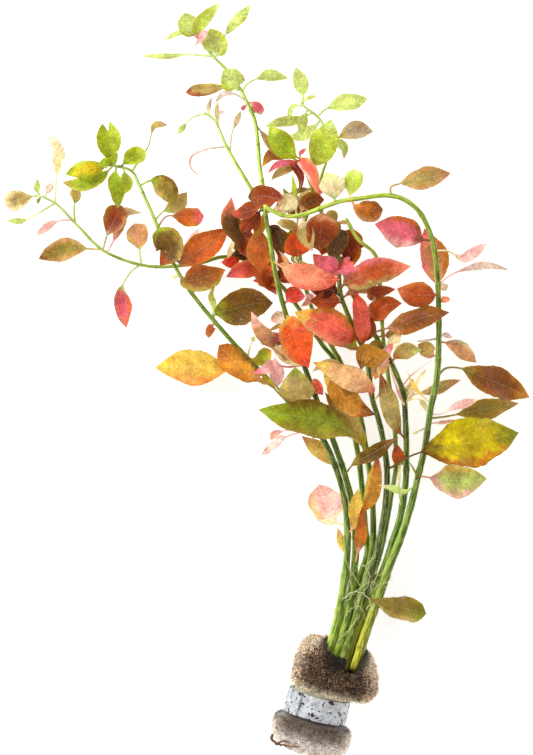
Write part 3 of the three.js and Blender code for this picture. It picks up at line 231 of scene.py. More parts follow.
# %% [markdown]
# The smaller leaves, stalks and curls stay part of their stem. Their rows are shorter: stem, width, form,
# share of stalk, three tones (base, heart, tip), the place on the stem, and the midrib.

# %% Smaller leaves
SHOOTS = [
    ("low", 2.8, "oval", 0.1, "spring spring grey", (-91.2, 73.2), [(-92.1, 76, 10), (-91.9, 79.8, 12)]),
    ("low", 1.8, "oval", 0.1, "green green green", (-90.8, 73), [(-91.6, 71.4, 7), (-91.8, 69.8, 6)]),
    ("low", 3.4, "oval", 0.2, "cream blush blush", (-89, 72.4), [(-87.6, 75.2, 9), (-86.2, 78.6, 11)]),
    ("low", 2.8, "oval", 0.6, "spring spring spring", (-85.2, 70.2), [(-90, 67, 8), (-97, 63.4, 6),
        (-104.6, 63, 5)]),
    ("low", 3.4, "oval", 0.3, "pink pink pink", (-78.4, 63.4), [(-82, 63.2, 9), (-86, 62, 8),
        (-92.6, 57, 4)]),
    ("low", 4.4, "blunt", 0.5, "green khaki khaki", (-77, 62.2), [(-77.3, 68, 9), (-76.8, 72.5, 8.5),
        (-78, 76, 8.5)]),
    ("low", 5.6, "oval", 0.2, "pink tan grey", (-63.6, 50.6), [(-60, 58, 8), (-57, 66, 7.5),
        (-50.2, 66.2, 7.5)]),
    ("low", 9.3, "oval", 0.16, "russet umber salmon", (-8, 46.8), [(-8.5, 51, 19), (-10.5, 56.5, 25),
        (-14.8, 63.4, 29), (-14, 72, 30)]),
    ("low", 5.8, "oval", 0.2, "russet red coral", (-12.5, 47.4), [(-11.4, 48.6, 15), (-14.6, 46.4, 17),
        (-18.2, 46.2, 18)]),
    ("low", 7.7, "oval", 0.16, "peach coral rose", (-1.6, 43), [(-4, 44, 20), (-9, 43.4, 23.5),
        (-16.2, 40.2, 24)]),
    ("left", 5.8, "oval", 0.06, "moss lime lime", (-62.4, 85.2), [(-62, 89, 18.6), (-61.4, 96, 18.4),
        (-62.8, 102.8, 18)]),
    ("left", 3.4, "oval", 0.1, "green green green", (-61.8, 85.1), [(-61, 87, 23), (-59.4, 89.8, 24)]),
    ("left", 4.6, "oval", 0.1, "moss green green", (-62.4, 85.2), [(-64.4, 85.6, 25), (-67.2, 84.4, 26)]),
    ("left", 4.4, "oval", 0.1, "spring lime lime", (-57, 83.9), [(-56.6, 80, 17), (-55.6, 77, 16),
        (-57.2, 73.4, 15)]),
    ("left", 2.6, "oval", 0.66, "green khaki grey", (-54, 82.6), [(-50.4, 88, 15.6), (-47.5, 92.5, 15),
        (-46.2, 97, 15), (-44.8, 101, 16), (-39.4, 101.2, 15)]),
    ("left", 6.6, "oval", 0.3, "spring khaki khaki", (-44.6, 63), [(-41.4, 66.4, 17.6), (-36.6, 69.6, 14.6),
        (-31.8, 74.4, 12)]),
    ("left", 2.6, "oval", 0.5, "rose pink pink", (-38.6, 48.6), [(-35, 50.4, 15), (-31.4, 54, 13.4),
        (-26.8, 60, 13)]),
    ("left", 1.6, "oval", 0.1, "cream cream cream", (-34.8, 41.2), [(-36.6, 40.2, 26), (-38.6, 40.6, 26)]),
    ("left", 2.6, "oval", 0.1, "spring spring khaki", (-21.8, 23.8), [(-21.2, 29, 24), (-22.2, 33, 22),
        (-20.5, 37.2, 21)]),
    ("left", 4.8, "oval", 0.12, "tan orange tan", (-20, 21.6), [(-22.2, 20.6, 24), (-23.2, 15.8, 21)]),
    ("left", 7, "round", 0.2, "citron lime gold", (-7.2, 7.4), [(-4, 7.6, 24), (2, 10.8, 22)]),
    ("left", 2.2, "oval", 0.7, "spring cream spring", (-8, 8.4), [(-6.4, 12.6, 29), (-4.8, 16.4, 32)]),
    ("left", 6.2, "oval", 0.08, "khaki straw tan", (27.8, -36.2), [(25, -33.4, 20), (20, -28, 20),
        (14, -23.4, 20)]),
    ("left", 4.8, "oval", 0.44, "pink blush pink", (18.8, -20.8), [(12.4, -22.2, 23), (6, -24.6, 21),
        (2, -28, 19), (-2, -31.2, 17)]),
    ("left", 3, "blunt", 0.6, "pink pink peach", (17, -18.6), [(9, -21, 20), (3.4, -22.4, 18),
        (1.8, -25.2, 17)]),
    ("left", 6.4, "oval", 0.1, "peach gold gold", (32.6, -62), [(35.2, -59, 22.6), (35.8, -52, 24),
        (36.6, -44.4, 24)]),
    ("left", 3.6, "oval", 0.1, "straw straw peach", (31.8, -72), [(30.4, -67, 16), (28.6, -60.4, 13.6)]),
    ("left", 13.5, "oval", 0.1, "tan khaki moss", (12.4, -13), [(12.4, -9, 30), (12, -3, 32),
        (11.5, 4.2, 32)]),
    ("tall", 2.4, "oval", 0.1, "spring spring cream", (-27.6, 136.4), [(-31.4, 138, 14.6), (-36, 137.8, 14),
        (-42, 134.6, 13)]),
    ("tall", 2.4, "oval", 0.4, "rose pink pink", (-26.6, 135.2), [(-28.2, 136.4, 23), (-24.6, 137.4, 28.6),
        (-29, 132, 28)]),
    ("tall", 2.4, "oval", 0.3, "spring spring spring", (-21.8, 129.2), [(-32, 129.4, 15.6), (-40, 129, 12),
        (-51.2, 129.2, 8)]),
    ("tall", 4.6, "oval", 0.36, "spring spring spring", (-10, 114.4), [(-7.5, 117.6, 20), (-3, 120, 18),
        (2, 121.2, 16), (8.8, 120, 13)]),
    ("tall", 2.2, "oval", 0.3, "grey blush grey", (-8.4, 111), [(-13, 113.4, 25), (-17, 113.4, 25),
        (-20.8, 109.8, 23)]),
    ("tall", 4.6, "oval", 0.1, "tan rose grey", (-7.8, 110), [(-5.4, 109.4, 25), (-3.2, 107.6, 24),
        (-2.2, 105, 21)]),
    ("tall", 1.8, "oval", 0.1, "rose rose grey", (-7.4, 109), [(-9, 108, 23), (-9.6, 106.6, 22)]),
    ("tall", 3.2, "oval", 0.1, "grey khaki olive", (-4.2, 100.4), [(-1, 96.5, 25), (2, 91.5, 25.4),
        (6, 87.4, 25.4)]),
    ("tall", 9.3, "oval", 0.16, "soot umber maroon", (0.4, 60.6), [(3.2, 59.4, 34), (5.6, 55, 33),
        (6.6, 49, 32)]),
    ("tall", 7, "oval", 0.16, "maroon russet maroon", (-1, 68.4), [(-5, 63, 37), (-8, 59.6, 37),
        (-6.8, 55.4, 36)]),
    ("tall", 7, "oval", 0.14, "rust russet rust", (4.2, 38.4), [(6.6, 40, 32), (8.6, 43, 30),
        (8.2, 46.6, 29)]),
    ("tall", 6.3, "oval", 0.14, "copper rust red", (5, 35.4), [(2, 37.4, 26), (-2, 39, 19.6),
        (-5.4, 38.6, 18)]),
    ("tall", 8.6, "oval", 0.14, "coral red rose", (6.8, 29), [(8.4, 30.6, 31), (11, 32.4, 31),
        (15.4, 32.4, 30)]),
    ("tall", 5.8, "oval", 0.3, "rose pink rose", (14.8, 5.4), [(9, 4.2, 25), (4, 4.6, 27), (-0.5, 3, 35),
        (-5.6, 1.6, 36.4)]),
    ("tall", 1.2, "oval", 0.1, "cream tan brown", (13.4, 9.2), [(9, 7, 30), (5.4, 9.4, 34), (2, 12, 35.4),
        (-2.8, 13.6, 36)]),
    ("tall", 6.3, "oval", 0.2, "umber tan pink", (11.6, 14.2), [(6, 13.4, 29.6), (1, 15.4, 33),
        (-2.6, 19.4, 35.4), (-6, 26.2, 37)]),
    ("tall", 4.6, "oval", 0.1, "peach coral rose", (17.4, -1.6), [(19, -1.2, 26.4), (20.4, -3.6, 27.4),
        (22.6, -7, 27)]),
    ("tall", 6, "oval", 0.16, "olive bark brown", (31.2, -38.4), [(35, -34.4, 24), (42, -30.6, 28.4),
        (52.6, -24, 31)]),
    ("tall", 5, "oval", 0.16, "peach copper russet", (34.8, -75), [(36.8, -68, 21), (38, -60, 25),
        (38.4, -51, 27.4)]),
    ("branch", 2, "oval", 0.1, "spring cream spring", (-20.4, 101.6), [(-20, 106.6, 28),
        (-19.4, 110.2, 29)]),
    ("branch", 2.2, "oval", 0.1, "pink blush blush", (-19.8, 100.4), [(-18.8, 105.4, 26),
        (-15.6, 106.3, 26)]),
    ("branch", 1.8, "oval", 0.1, "spring grey grey", (-23, 104.6), [(-23.2, 108, 23), (-21.8, 112.4, 22)]),
    ("branch", 2.6, "oval", 0.6, "spring spring grey", (-24.4, 105.6), [(-28, 104.6, 23), (-32, 102, 21),
        (-35.6, 97.4, 18)]),
    ("branch", 1, "oval", 0.1, "grey pink grey", (-16, 92.4), [(-24.4, 91.2, 22), (-30, 88.4, 19),
        (-30.6, 85, 17), (-28.5, 82, 15), (-25, 81.4, 14)]),
    ("branch", 2.4, "oval", 0.5, "grey grey khaki", (-14.8, 90.2), [(-13.8, 97.5, 27), (-12, 102.5, 26),
        (-10.2, 106.4, 29)]),
    ("back", 1.6, "oval", 0.1, "spring spring cream", (14.2, 109.3), [(16, 111.6, 15), (20.4, 113, 14)]),
    ("back", 2.6, "oval", 0.1, "spring spring spring", (14.8, 109), [(10.6, 108.6, 16.4), (8.8, 103, 15)]),
    ("back", 4.2, "oval", 0.1, "spring spring spring", (16.4, 107.6), [(15, 104, 16), (13.8, 97, 14)]),
    ("back", 4.6, "oval", 0.16, "spring spring spring", (18.4, 106), [(12, 103.6, 12.4), (6, 102.6, 10),
        (-0.5, 101, 6)]),
    ("back", 5, "oval", 0.1, "spring spring spring", (21.4, 103), [(18, 99, 12), (13, 97, 8),
        (7.5, 96.5, 4)]),
    ("back", 3.8, "oval", 0.1, "lime spring grey", (24.6, 91.4), [(28, 93.5, 24), (30.8, 92, 24),
        (31, 87.4, 22)]),
    ("back", 7.4, "oval", 0.2, "khaki grey grey", (24.2, 94.6), [(29.5, 96.4, 20), (36, 99.4, 17),
        (42.8, 98.6, 13)]),
    ("back", 6.3, "oval", 0.1, "amber gold gold", (29.8, 6), [(27.2, 3, 26), (25, 0, 28),
        (24.4, -4.6, 28)]),
    ("back", 8, "oval", 0.1, "citron khaki brown", (40.2, -30.4), [(37.6, -23, 20.6), (31.5, -16, 22),
        (23.4, -6, 20)]),
    ("thick", 5.4, "oval", 0.2, "lime brown amber", (14.4, 85.6), [(8, 88.6, 25), (2.4, 89, 21.4),
        (-1.8, 84.4, 20)]),
    ("thick", 2.8, "oval", 0.1, "russet rose rose", (13.8, 86.8), [(8, 85.6, 31), (4, 84.8, 31),
        (0.4, 81.4, 30)]),
    ("thick", 3.7, "oval", 0.1, "brown khaki grey", (14.6, 85), [(8.8, 83.4, 28), (5.5, 82.4, 27),
        (1.8, 78.8, 25)]),
    ("thick", 3.7, "oval", 0.1, "red maroon brown", (14, 86.4), [(10.6, 85.4, 33), (13.4, 81.4, 34),
        (13.8, 77, 34.4), (12.4, 73.4, 35)]),
    ("thick", 3, "oval", 0.1, "khaki olive lime", (18.4, 75.4), [(13, 74.6, 30), (10, 72.8, 31),
        (6.6, 70.4, 31)]),
    ("thick", 1.8, "oval", 0.1, "tan rose khaki", (13.6, 87.2), [(13.4, 89.4, 27), (16, 91.6, 27)]),
    ("thick", 8.4, "oval", 0.14, "tan rust rust", (37, 28.6), [(42, 26, 27), (48, 29, 30), (54, 29.6, 29)]),
    ("thick", 10.4, "oval", 0.2, "tan brown brown", (43, 18), [(48, 19.6, 27), (55, 21, 32), (63, 24, 35),
        (72.8, 26, 35.4)]),
    ("thick", 4.6, "oval", 0.3, "tan khaki tan", (44, 15.8), [(48, 16.8, 23), (53.6, 17, 25)]),
    ("thick", 4.6, "oval", 0.2, "blush cream peach", (48.4, 8.4), [(48.6, 11.4, 25), (50.6, 14.2, 27),
        (54, 18, 28)]),
    ("thick", 5.3, "oval", 0.1, "peach peach orange", (50.4, 5), [(47.6, 5, 24.6), (44.6, 2.6, 27),
        (43.2, -0.8, 28)]),
    ("thick", 6.5, "oval", 0.1, "orange khaki spring", (50, 6), [(52.4, 8.8, 24.6), (56, 11, 26),
        (62, 11, 26)]),
    ("thick", 7, "oval", 0.1, "umber olive brown", (47, 11), [(44.4, 12, 26), (42.8, 9, 28.4),
        (42.4, 5.8, 29)]),
    ("thick", 5, "oval", 0.24, "cream khaki tan", (55, -8.4), [(60, -6.6, 19.6), (67, -5, 18),
        (72, -2.8, 17), (77.8, -1, 15)]),
    ("thick", 2.4, "oval", 0.2, "cream cream cream", (55.2, -10.4), [(57.6, -6.6, 24), (61, -1.4, 26)]),
    ("thick", 1.6, "oval", 0.4, "cream cream cream", (55, -7), [(60, -1.6, 22.6), (64, 3.4, 22.6)]),
    ("thick", 2.6, "oval", 0.4, "cream cream blush", (55.2, -9.2), [(60.4, -8.6, 23), (63, -10.6, 19.6),
        (64.6, -14, 18)]),
    ("thick", 0.9, "oval", 0.5, "pink blush blush", (54, -3.6), [(58, 1, 24), (62, 4, 25),
        (66.2, 7, 25.6)]),
    ("thick", 7.4, "oval", 0.08, "brown khaki russet", (55.4, -24.6), [(52.6, -21, 24), (50, -14, 27.4),
        (47.6, -6, 29), (45.4, 2, 29)]),
    ("thick", 5.4, "oval", 0.1, "lime rust russet", (56, -34), [(53.4, -33, 23.4), (52.4, -30, 24),
        (52.2, -26.6, 24.6)]),
    ("thick", 9.3, "oval", 0.1, "peach amber brown", (50, 6.8), [(44.6, 7.8, 30.6), (39, 10, 33),
        (37.6, 2.8, 34)]),
    ("dark", 6.3, "oval", 0.14, "peach khaki tan", (28.8, 61.4), [(26, 63.4, 33), (22.8, 62.6, 34)]),
    ("dark", 9.3, "oval", 0.1, "soot umber bark", (28.8, 60.4), [(28.8, 57, 35), (27.2, 52, 36),
        (26.4, 46, 36.6)]),
    ("dark", 9.3, "oval", 0.1, "maroon russet maroon", (28.8, 57.4), [(31, 55, 30), (33, 51, 29),
        (33.6, 46.6, 28)]),
    ("dark", 8.1, "oval", 0.1, "tan rust russet", (28.8, 58.6), [(31.5, 57.4, 27), (35, 55.2, 25.4),
        (38.8, 52, 24)]),
    ("dark", 8.7, "oval", 0.1, "red rose coral", (28.8, 43.6), [(30.6, 44, 34), (32.6, 43.8, 36),
        (34.6, 46, 36.6)]),
    ("dark", 8.1, "oval", 0.1, "salmon rose coral", (29.2, 40), [(26.4, 42.6, 35), (22, 45.6, 37),
        (18.4, 49.2, 37.4)]),
    ("dark", 7, "oval", 0.1, "soot maroon umber", (29.8, 32.6), [(26, 34.8, 34), (21, 35.4, 34),
        (16, 36.4, 33)]),
    ("dark", 8.1, "oval", 0.1, "copper rust russet", (30.6, 29.8), [(27, 30.4, 33.6), (22, 30.4, 33.6),
        (17.4, 30.6, 33.2)]),
    ("dark", 8.6, "oval", 0.06, "rust coral red", (38.4, 12), [(38.4, 16.4, 32), (37.4, 24, 34),
        (35.2, 34.4, 34)]),
    ("dark", 9.7, "oval", 0.06, "coral peach gold", (42.2, -7.2), [(41.2, -4.5, 31), (36, -1, 33),
        (27, 3, 34), (18.5, 6, 32)]),
    ("dark", 10.9, "oval", 0.1, "rust amber maroon", (41.6, -4), [(29, -3.4, 29.6), (33, -9.4, 29.6),
        (38, -13, 30.4), (43.4, -14.9, 30.6)]),
    ("pale", 3.9, "oval", 0.1, "peach tan orange", (45.2, 34), [(41.4, 35.2, 26), (37.4, 35.2, 25),
        (34.8, 35.6, 25)]),
    ("pale", 5.8, "oval", 0.1, "cream russet rust", (45.4, 32), [(43, 33.4, 31), (47, 34.6, 32),
        (51.4, 35.2, 32)]),
    ("arch", 8.1, "oval", 0.14, "rust russet red", (-1.2, 68.4), [(-4.4, 66.6, 46), (-9, 65.4, 44),
        (-13.2, 65, 42)]),
    ("arch", 8.7, "blunt", 0.1, "tan russet brown", (4, 65.2), [(5, 70.6, 45.4), (0, 72, 44),
        (-7.4, 71.6, 43)]),
    ("arch", 7.7, "blunt", 0.06, "cream lime spring", (32.6, 70.6), [(33.4, 73.4, 46), (34.4, 78, 46),
        (35, 82.8, 45)]),
    ("arch", 10.4, "oval", 0.1, "spring cream spring", (27, 69.2), [(27, 72, 47), (25.6, 77, 46.6),
        (23.8, 81.6, 45)]),
    ("arch", 2.4, "oval", 0.3, "spring green green", (12, 64.4), [(11.8, 69, 43), (11.2, 74.5, 41),
        (10.2, 81, 40)]),
    ("arch", 8.4, "oval", 0.1, "tan brown russet", (13.4, 64.4), [(14.4, 67.6, 45), (18, 70.4, 44),
        (23, 70.6, 43)]),
    ("arch", 9.3, "oval", 0.1, "olive cream tan", (9.4, 64), [(9, 66.8, 45), (7.6, 68.6, 44),
        (3.8, 68.4, 43)]),
    ("arch", 10.4, "blunt", 0.2, "tan flame rust", (12.4, 64.4), [(12.2, 60.6, 44), (12, 54, 42),
        (12.6, 48, 39.6)]),
    ("arch", 7, "oval", 0.1, "cream khaki tan", (14, 64.6), [(14.6, 61.6, 45), (16, 56, 45),
        (18.2, 50.2, 45)]),
    ("arch", 13.9, "round", 0.1, "tan russet brown", (22.4, 67.4), [(22, 64.4, 44.6), (21.4, 57, 42.6),
        (20.8, 50.4, 41)]),
    ("arch", 4.6, "oval", 0.3, "cream pink blush", (67.2, 50.4), [(72, 50.4, 35), (78, 47.6, 34),
        (82, 49.4, 33), (88.4, 54, 31)]),
    ("arch", 3.2, "oval", 0.25, "pink blush grey", (68.4, 37.2), [(73, 40.6, 32), (79, 43.2, 29.6),
        (88, 45, 27), (97, 43, 24)]),
    ("arch", 4.4, "oval", 0.1, "rust salmon red", (68.5, 30.4), [(70.6, 30.8, 31), (73, 31.8, 30)]),
    ("arch", 3.2, "oval", 0.1, "olive grey tan", (68.4, 35), [(70.4, 35.8, 33), (72.4, 37, 33)]),
    ("arch", 6.4, "oval", 0.1, "tan khaki tan", (68.5, 8.4), [(66, 9, 25), (64, 11, 24), (60.6, 13.4, 22)]),
    ("arch", 1.2, "oval", 0.3, "grey blush grey", (68.8, 15.2), [(64, 14.9, 27), (60, 14.4, 26)]),
    ("arch", 2.2, "oval", 0.1, "blush blush cream", (68.8, 17), [(71.6, 17, 29), (74.4, 15.8, 29.6)]),
    ("arch", 3.6, "oval", 0.3, "blush pink cream", (65.4, -14.6), [(69, -14.6, 23), (76, -11.6, 22.6),
        (85, -8.8, 22)]),
    ("arch", 8.4, "oval", 0.3, "olive olive khaki", (65.2, -16.4), [(72, -15.6, 17.6), (80, -14, 13),
        (90, -12.2, 6), (101.6, -10.4, 0.6)]),
    ("arch", 1.6, "oval", 0.2, "blush pink amber", (64.8, -18), [(70, -18, 18), (76.5, -17, 14)]),
    ("arch", 0.9, "oval", 0.5, "grey spring spring", (64.4, -20.4), [(61, -21.4, 23), (58.4, -22.6, 23)]),
    ("arch", 3.4, "oval", 0.1, "lime spring cream", (59.6, -43.4), [(55, -45.6, 25), (50, -44.4, 27),
        (45, -43, 28.4)]),
]


# %% [markdown]
# In the middle of the bunch the leaves lie on top of each other, folded and pressed. These rows fill that
# crowd; they have the same columns as the smaller leaves.

# %% Leaves of the crowded middle
CROWD = [
    ("low", 5, "oval", 0.1, "umber soot umber", (-10, 47), [(-7, 48.5, 16), (-10.5, 49.6, 17),
        (-14.5, 49, 18)]),
    ("low", 5, "oval", 0.1, "tan russet maroon", (-8, 46.8), [(-8.2, 50, 20), (-9.5, 55, 23),
        (-8.6, 60.5, 26)]),
    ("low", 2.2, "oval", 0.1, "tan cream cream", (-14, 46.4), [(-15, 49, 19), (-14, 53, 21),
        (-11.4, 56.4, 22)]),
    ("tall", 7, "oval", 0.06, "rust rust russet", (3.2, 42), [(1.5, 43, 31), (0, 39, 28), (2.8, 35.2, 26)]),
    ("tall", 5, "oval", 0.1, "rust russet coral", (4.6, 37), [(6, 41, 30), (7.6, 39.5, 29),
        (9.6, 42.2, 28)]),
    ("tall", 3.6, "oval", 0.1, "russet rust maroon", (2.6, 46), [(6, 44.6, 31), (5.6, 48, 31),
        (4.4, 51, 31)]),
    ("tall", 2.4, "oval", 0.1, "pink peach pink", (2.8, 45), [(8, 45.6, 32), (7, 48, 32), (5, 50.6, 32)]),
    ("tall", 4, "oval", 0.1, "gold amber rust", (-1, 67), [(-1.6, 63, 34), (-2.8, 59, 33), (-5.6, 54, 32)]),
    ("tall", 5.4, "blunt", 0.1, "khaki cream tan", (0.4, 66), [(4, 66.6, 32), (8, 67.8, 31),
        (13, 69.4, 30)]),
    ("back", 4.5, "oval", 0.1, "tan red russet", (13.6, 47), [(11.5, 44, 20), (9.6, 41, 22),
        (8.6, 37.4, 22)]),
    ("back", 1.4, "oval", 0.1, "gold spring green", (13.6, 49), [(12, 47.5, 22), (14.5, 46, 24),
        (17, 45.4, 25)]),
    ("back", 2, "oval", 0.1, "citron spring cream", (13.8, 51), [(11, 49, 23), (10.4, 47, 24),
        (13, 45, 25)]),
    ("back", 5.6, "blunt", 0.06, "tan cream grey", (17.6, 69), [(15.6, 72, 24), (17.6, 73.4, 25),
        (20, 71.6, 26)]),
    ("back", 6, "blunt", 0.06, "copper brown russet", (17, 66), [(14.4, 66.4, 22), (11.4, 66.6, 23),
        (9, 69, 24)]),
    ("back", 4.4, "oval", 0.06, "rose rose salmon", (21, 75), [(20, 75, 26), (18.6, 77, 27),
        (17, 79.6, 28)]),
    ("back", 4, "oval", 0.1, "green moss green", (18, 70), [(10.4, 71.4, 24), (8.2, 73, 24),
        (6.4, 76, 24)]),
    ("dark", 2.6, "oval", 0.1, "cream tan cream", (28.8, 60.8), [(30, 61.8, 31), (32.6, 61.4, 31)]),
    ("dark", 3, "oval", 0.1, "pink rose pink", (29, 41), [(28, 43, 33), (27, 45.6, 33), (27.4, 48, 33)]),
    ("dark", 4.6, "oval", 0.1, "bark amber russet", (29.4, 36), [(32, 37.6, 33), (36.5, 38.6, 34),
        (42, 38, 34)]),
    ("dark", 3.4, "oval", 0.1, "orange tan pink", (30.6, 32), [(33, 33.6, 32), (37, 35, 32),
        (41.6, 36, 32)]),
    ("dark", 9, "blunt", 0.1, "rose coral orange", (35, 18), [(31, 18, 31), (25, 20, 31.4), (19, 24, 31)]),
    ("dark", 3.4, "oval", 0.1, "red red rose", (36, 16), [(30, 14.6, 28.6), (24, 16, 28.6),
        (17.6, 18.6, 28.6)]),
    ("dark", 1, "oval", 0.1, "brown tan brown", (39.4, 10), [(35, 11.4, 30), (27, 13.4, 31),
        (18, 16.6, 32)]),
    ("dark", 4.4, "oval", 0.1, "amber lime olive", (38.4, 12), [(35.5, 12, 26), (32.5, 14.4, 26.4),
        (30.4, 17, 26.6)]),
    ("dark", 3, "oval", 0.1, "rose pink pink", (36, 16.6), [(33.6, 17.4, 25), (31.4, 19.8, 25)]),
    ("dark", 5.4, "oval", 0.1, "umber russet maroon", (37.6, 13.4), [(40, 16, 30), (41.4, 20, 30),
        (40.4, 25, 30)]),
    ("dark", 5, "oval", 0.1, "peach pink rose", (41, -1), [(44, 5, 27), (47, 9, 27), (50.6, 14, 27)]),
    ("back", 4, "oval", 0.1, "gold cream cream", (31, 3), [(27, 5.4, 22), (22, 5, 23), (18.4, 2.4, 24)]),
    ("back", 3, "oval", 0.1, "blush pink blush", (21.4, 22), [(17, 21.2, 18), (13, 22, 20), (9.6, 24, 22)]),
    ("back", 4, "oval", 0.1, "rose pink peach", (18, 32), [(17.2, 31.8, 22), (15.8, 29.8, 24),
        (13.8, 28.4, 24)]),
    ("back", 2.6, "oval", 0.1, "lime spring cream", (23, 19), [(19, 18, 18), (16, 19, 20), (13, 20.8, 21)]),
    ("tall", 4, "blunt", 0.1, "rose rose pink", (10.4, 17), [(7, 16.6, 30), (4, 16.2, 31),
        (0.8, 17.4, 31.6)]),
    ("tall", 5, "blunt", 0.1, "blush blush pink", (7.8, 27), [(6.4, 26, 27), (4, 24, 27), (1.8, 22.6, 27)]),
    ("tall", 1.6, "oval", 0.1, "tan khaki tan", (9.6, 20), [(6, 20.8, 30), (3, 19.6, 30), (0.8, 18.9, 30)]),
    ("tall", 4.6, "oval", 0.06, "cream cream cream", (15, 5), [(12, 5.4, 29), (7, 8.8, 30.5), (3, 12.2, 31),
        (0.4, 14.2, 31)]),
    ("left", 5.8, "oval", 0.06, "blush pink pink", (4.6, -4), [(4.6, -1, 28.6), (3.8, 3, 29.4),
        (3.2, 8.2, 29.8)]),
    ("left", 2.4, "oval", 0.1, "tan copper tan", (-6, 6.2), [(-4, 3.4, 27.5), (-1, 3.6, 30),
        (0.6, 7.4, 31)]),
    ("left", 4, "oval", 0.1, "moss citron lime", (2, -2.6), [(-0.5, -1, 24), (-3.6, -1.6, 24)]),
    ("left", 1.6, "oval", 0.1, "cream citron cream", (6, -7), [(3, -3.4, 28), (-1, 0.6, 28),
        (-6, 4.4, 28)]),
    ("left", 5, "oval", 0.1, "lime khaki tan", (-2, 1.6), [(-5, 0, 26), (-9, 1, 27), (-12, 4, 27.5)]),
    ("thick", 5, "oval", 0.06, "tan cream tan", (53, -4), [(56, -7, 20), (57.6, -4, 20), (58.6, -0.4, 20)]),
    ("back", 5, "blunt", 0.06, "green khaki cream", (14, 58), [(11, 60, 20), (8, 61, 21), (4, 62, 22)]),
    ("back", 4, "oval", 0.1, "moss green spring", (14, 60), [(11, 58, 20), (9, 56.5, 20), (7, 55.4, 20)]),
    ("tall", 8, "oval", 0.04, "maroon soot umber", (1.6, 58), [(3, 57, 24), (5, 53, 23), (5.6, 47, 22)]),
    ("tall", 9, "oval", 0.04, "copper rust russet", (1.6, 47), [(-2.4, 45, 26), (0, 40, 26), (4, 33, 26)]),
    ("dark", 12, "round", 0.04, "russet maroon russet", (29, 56), [(27, 57, 22), (24, 54, 21),
        (22, 49, 20)]),
    ("dark", 10, "round", 0.04, "maroon russet rust", (29, 47), [(31, 48, 24), (33, 52, 23), (34, 57, 22)]),
    ("low", 9, "blunt", 0.04, "russet umber maroon", (-6, 46), [(-7, 50, 12), (-9, 54, 12), (-8, 60, 12)]),
    ("back", 8, "blunt", 0.04, "umber rust russet", (16, 40), [(19, 38, 14), (23, 37, 14), (28, 38, 14)]),
    ("dark", 1.4, "oval", 0.1, "cream straw cream", (43, -9), [(46, -5, 28), (45, 1, 29), (43.5, 6.7, 29)]),
    ("thick", 1.4, "oval", 0.1, "cream pink cream", (55, -11), [(54, -9, 26), (51.4, -2, 27),
        (49, 4.6, 27)]),
    ("arch", 1.3, "oval", 0.1, "cream gold cream", (66, -10), [(63, -8, 25), (58.6, -3, 26), (56, 3, 26)]),
    ("back", 1.2, "oval", 0.1, "cream gold cream", (40, -29), [(38, -27, 19), (35, -24.6, 21),
        (32, -23.4, 21)]),
    ("thick", 1.2, "oval", 0.1, "spring cream spring", (56, -30), [(53.4, -35, 23), (53, -43, 23),
        (53.6, -51, 21)]),
    ("arch", 1.1, "oval", 0.1, "bark moss bark", (61, -41), [(60, -39, 24), (58.4, -36, 24),
        (57, -33.8, 23)]),
    ("tall", 1.2, "oval", 0.1, "umber rust umber", (35, -60), [(37, -57, 19), (38.8, -54, 19),
        (40.2, -51, 18)]),
]


# %% [markdown]
# Stems and leaves follow smooth paths, so one helper turns a few points into an even, dense path. It is a
# centripetal Catmull-Rom curve, which passes through every point and doesn't loop at tight bends. A second
# helper gives each station of a path a direction, a side and an upper side, so that a flat blade can be
# laid along it without twisting.

# %% Paths
SPAN_STEPS = 24  # places worked out between two points of a path
STEM_STATIONS = 400
BRANCH_STATIONS = 200


def gaps(path):
    """The distance from each station of a path to the next."""
    return np.linalg.norm(np.diff(path, axis=0), axis=1)


def smooth_path(points, count):
    """Evenly spaced stations along a centripetal Catmull-Rom curve through the points."""
    points = np.asarray(points, float)
    ends = 2 * points[[0, -1]] - points[[1, -2]]
    padded = np.vstack((ends[:1], points, ends[1:]))
    t = np.linspace(0, 1, SPAN_STEPS, endpoint=False)[:, None]
    dense = []
    for p0, p1, p2, p3 in zip(padded, padded[1:], padded[2:], padded[3:]):
        pairs = ((p0, p1), (p1, p2), (p2, p3))
        first, middle, last = (max(np.linalg.norm(b - a) ** 0.5, 1e-4) for a, b in pairs)
        start = ((p1 - p0) / first - (p2 - p0) / (first + middle) + (p2 - p1) / middle) * middle
        finish = ((p2 - p1) / middle - (p3 - p1) / (middle + last) + (p3 - p2) / last) * middle
        square = 3 * (p2 - p1) - 2 * start - finish
        cube = 2 * (p1 - p2) + start + finish
        dense.append(p1 + start * t + square * t**2 + cube * t**3)
    dense = np.vstack(dense + [points[-1:]])
    length = np.concatenate(([0], np.cumsum(gaps(dense))))
    even = np.linspace(0, length[-1], count)
    return np.column_stack([np.interp(even, length, dense[:, axis]) for axis in range(3)])


def directions(path):
    """Direction, side and upper side at each station of a path."""
    along = np.gradient(path, axis=0)
    along /= np.linalg.norm(along, axis=1)[:, None]
    side = np.cross((0, 0, 1), along)
    side /= np.maximum(np.linalg.norm(side, axis=1)[:, None], 1e-6)
    return along, side, np.cross(along, side)


stem_paths = {name: smooth_path(points, STEM_STATIONS) for name, (_, _, points) in STEMS.items()}
stem_paths["branch"] = smooth_path(BRANCH[2], BRANCH_STATIONS)
stem_ends = {name: row[:2] for name, row in STEMS.items()} | {"branch": BRANCH[:2]}
print("longest stem", round(max(gaps(path).sum() for path in stem_paths.values())), "mm")

CROWN = 0.985  # from this share of a stem on, a leaf may carry on the stem's own way


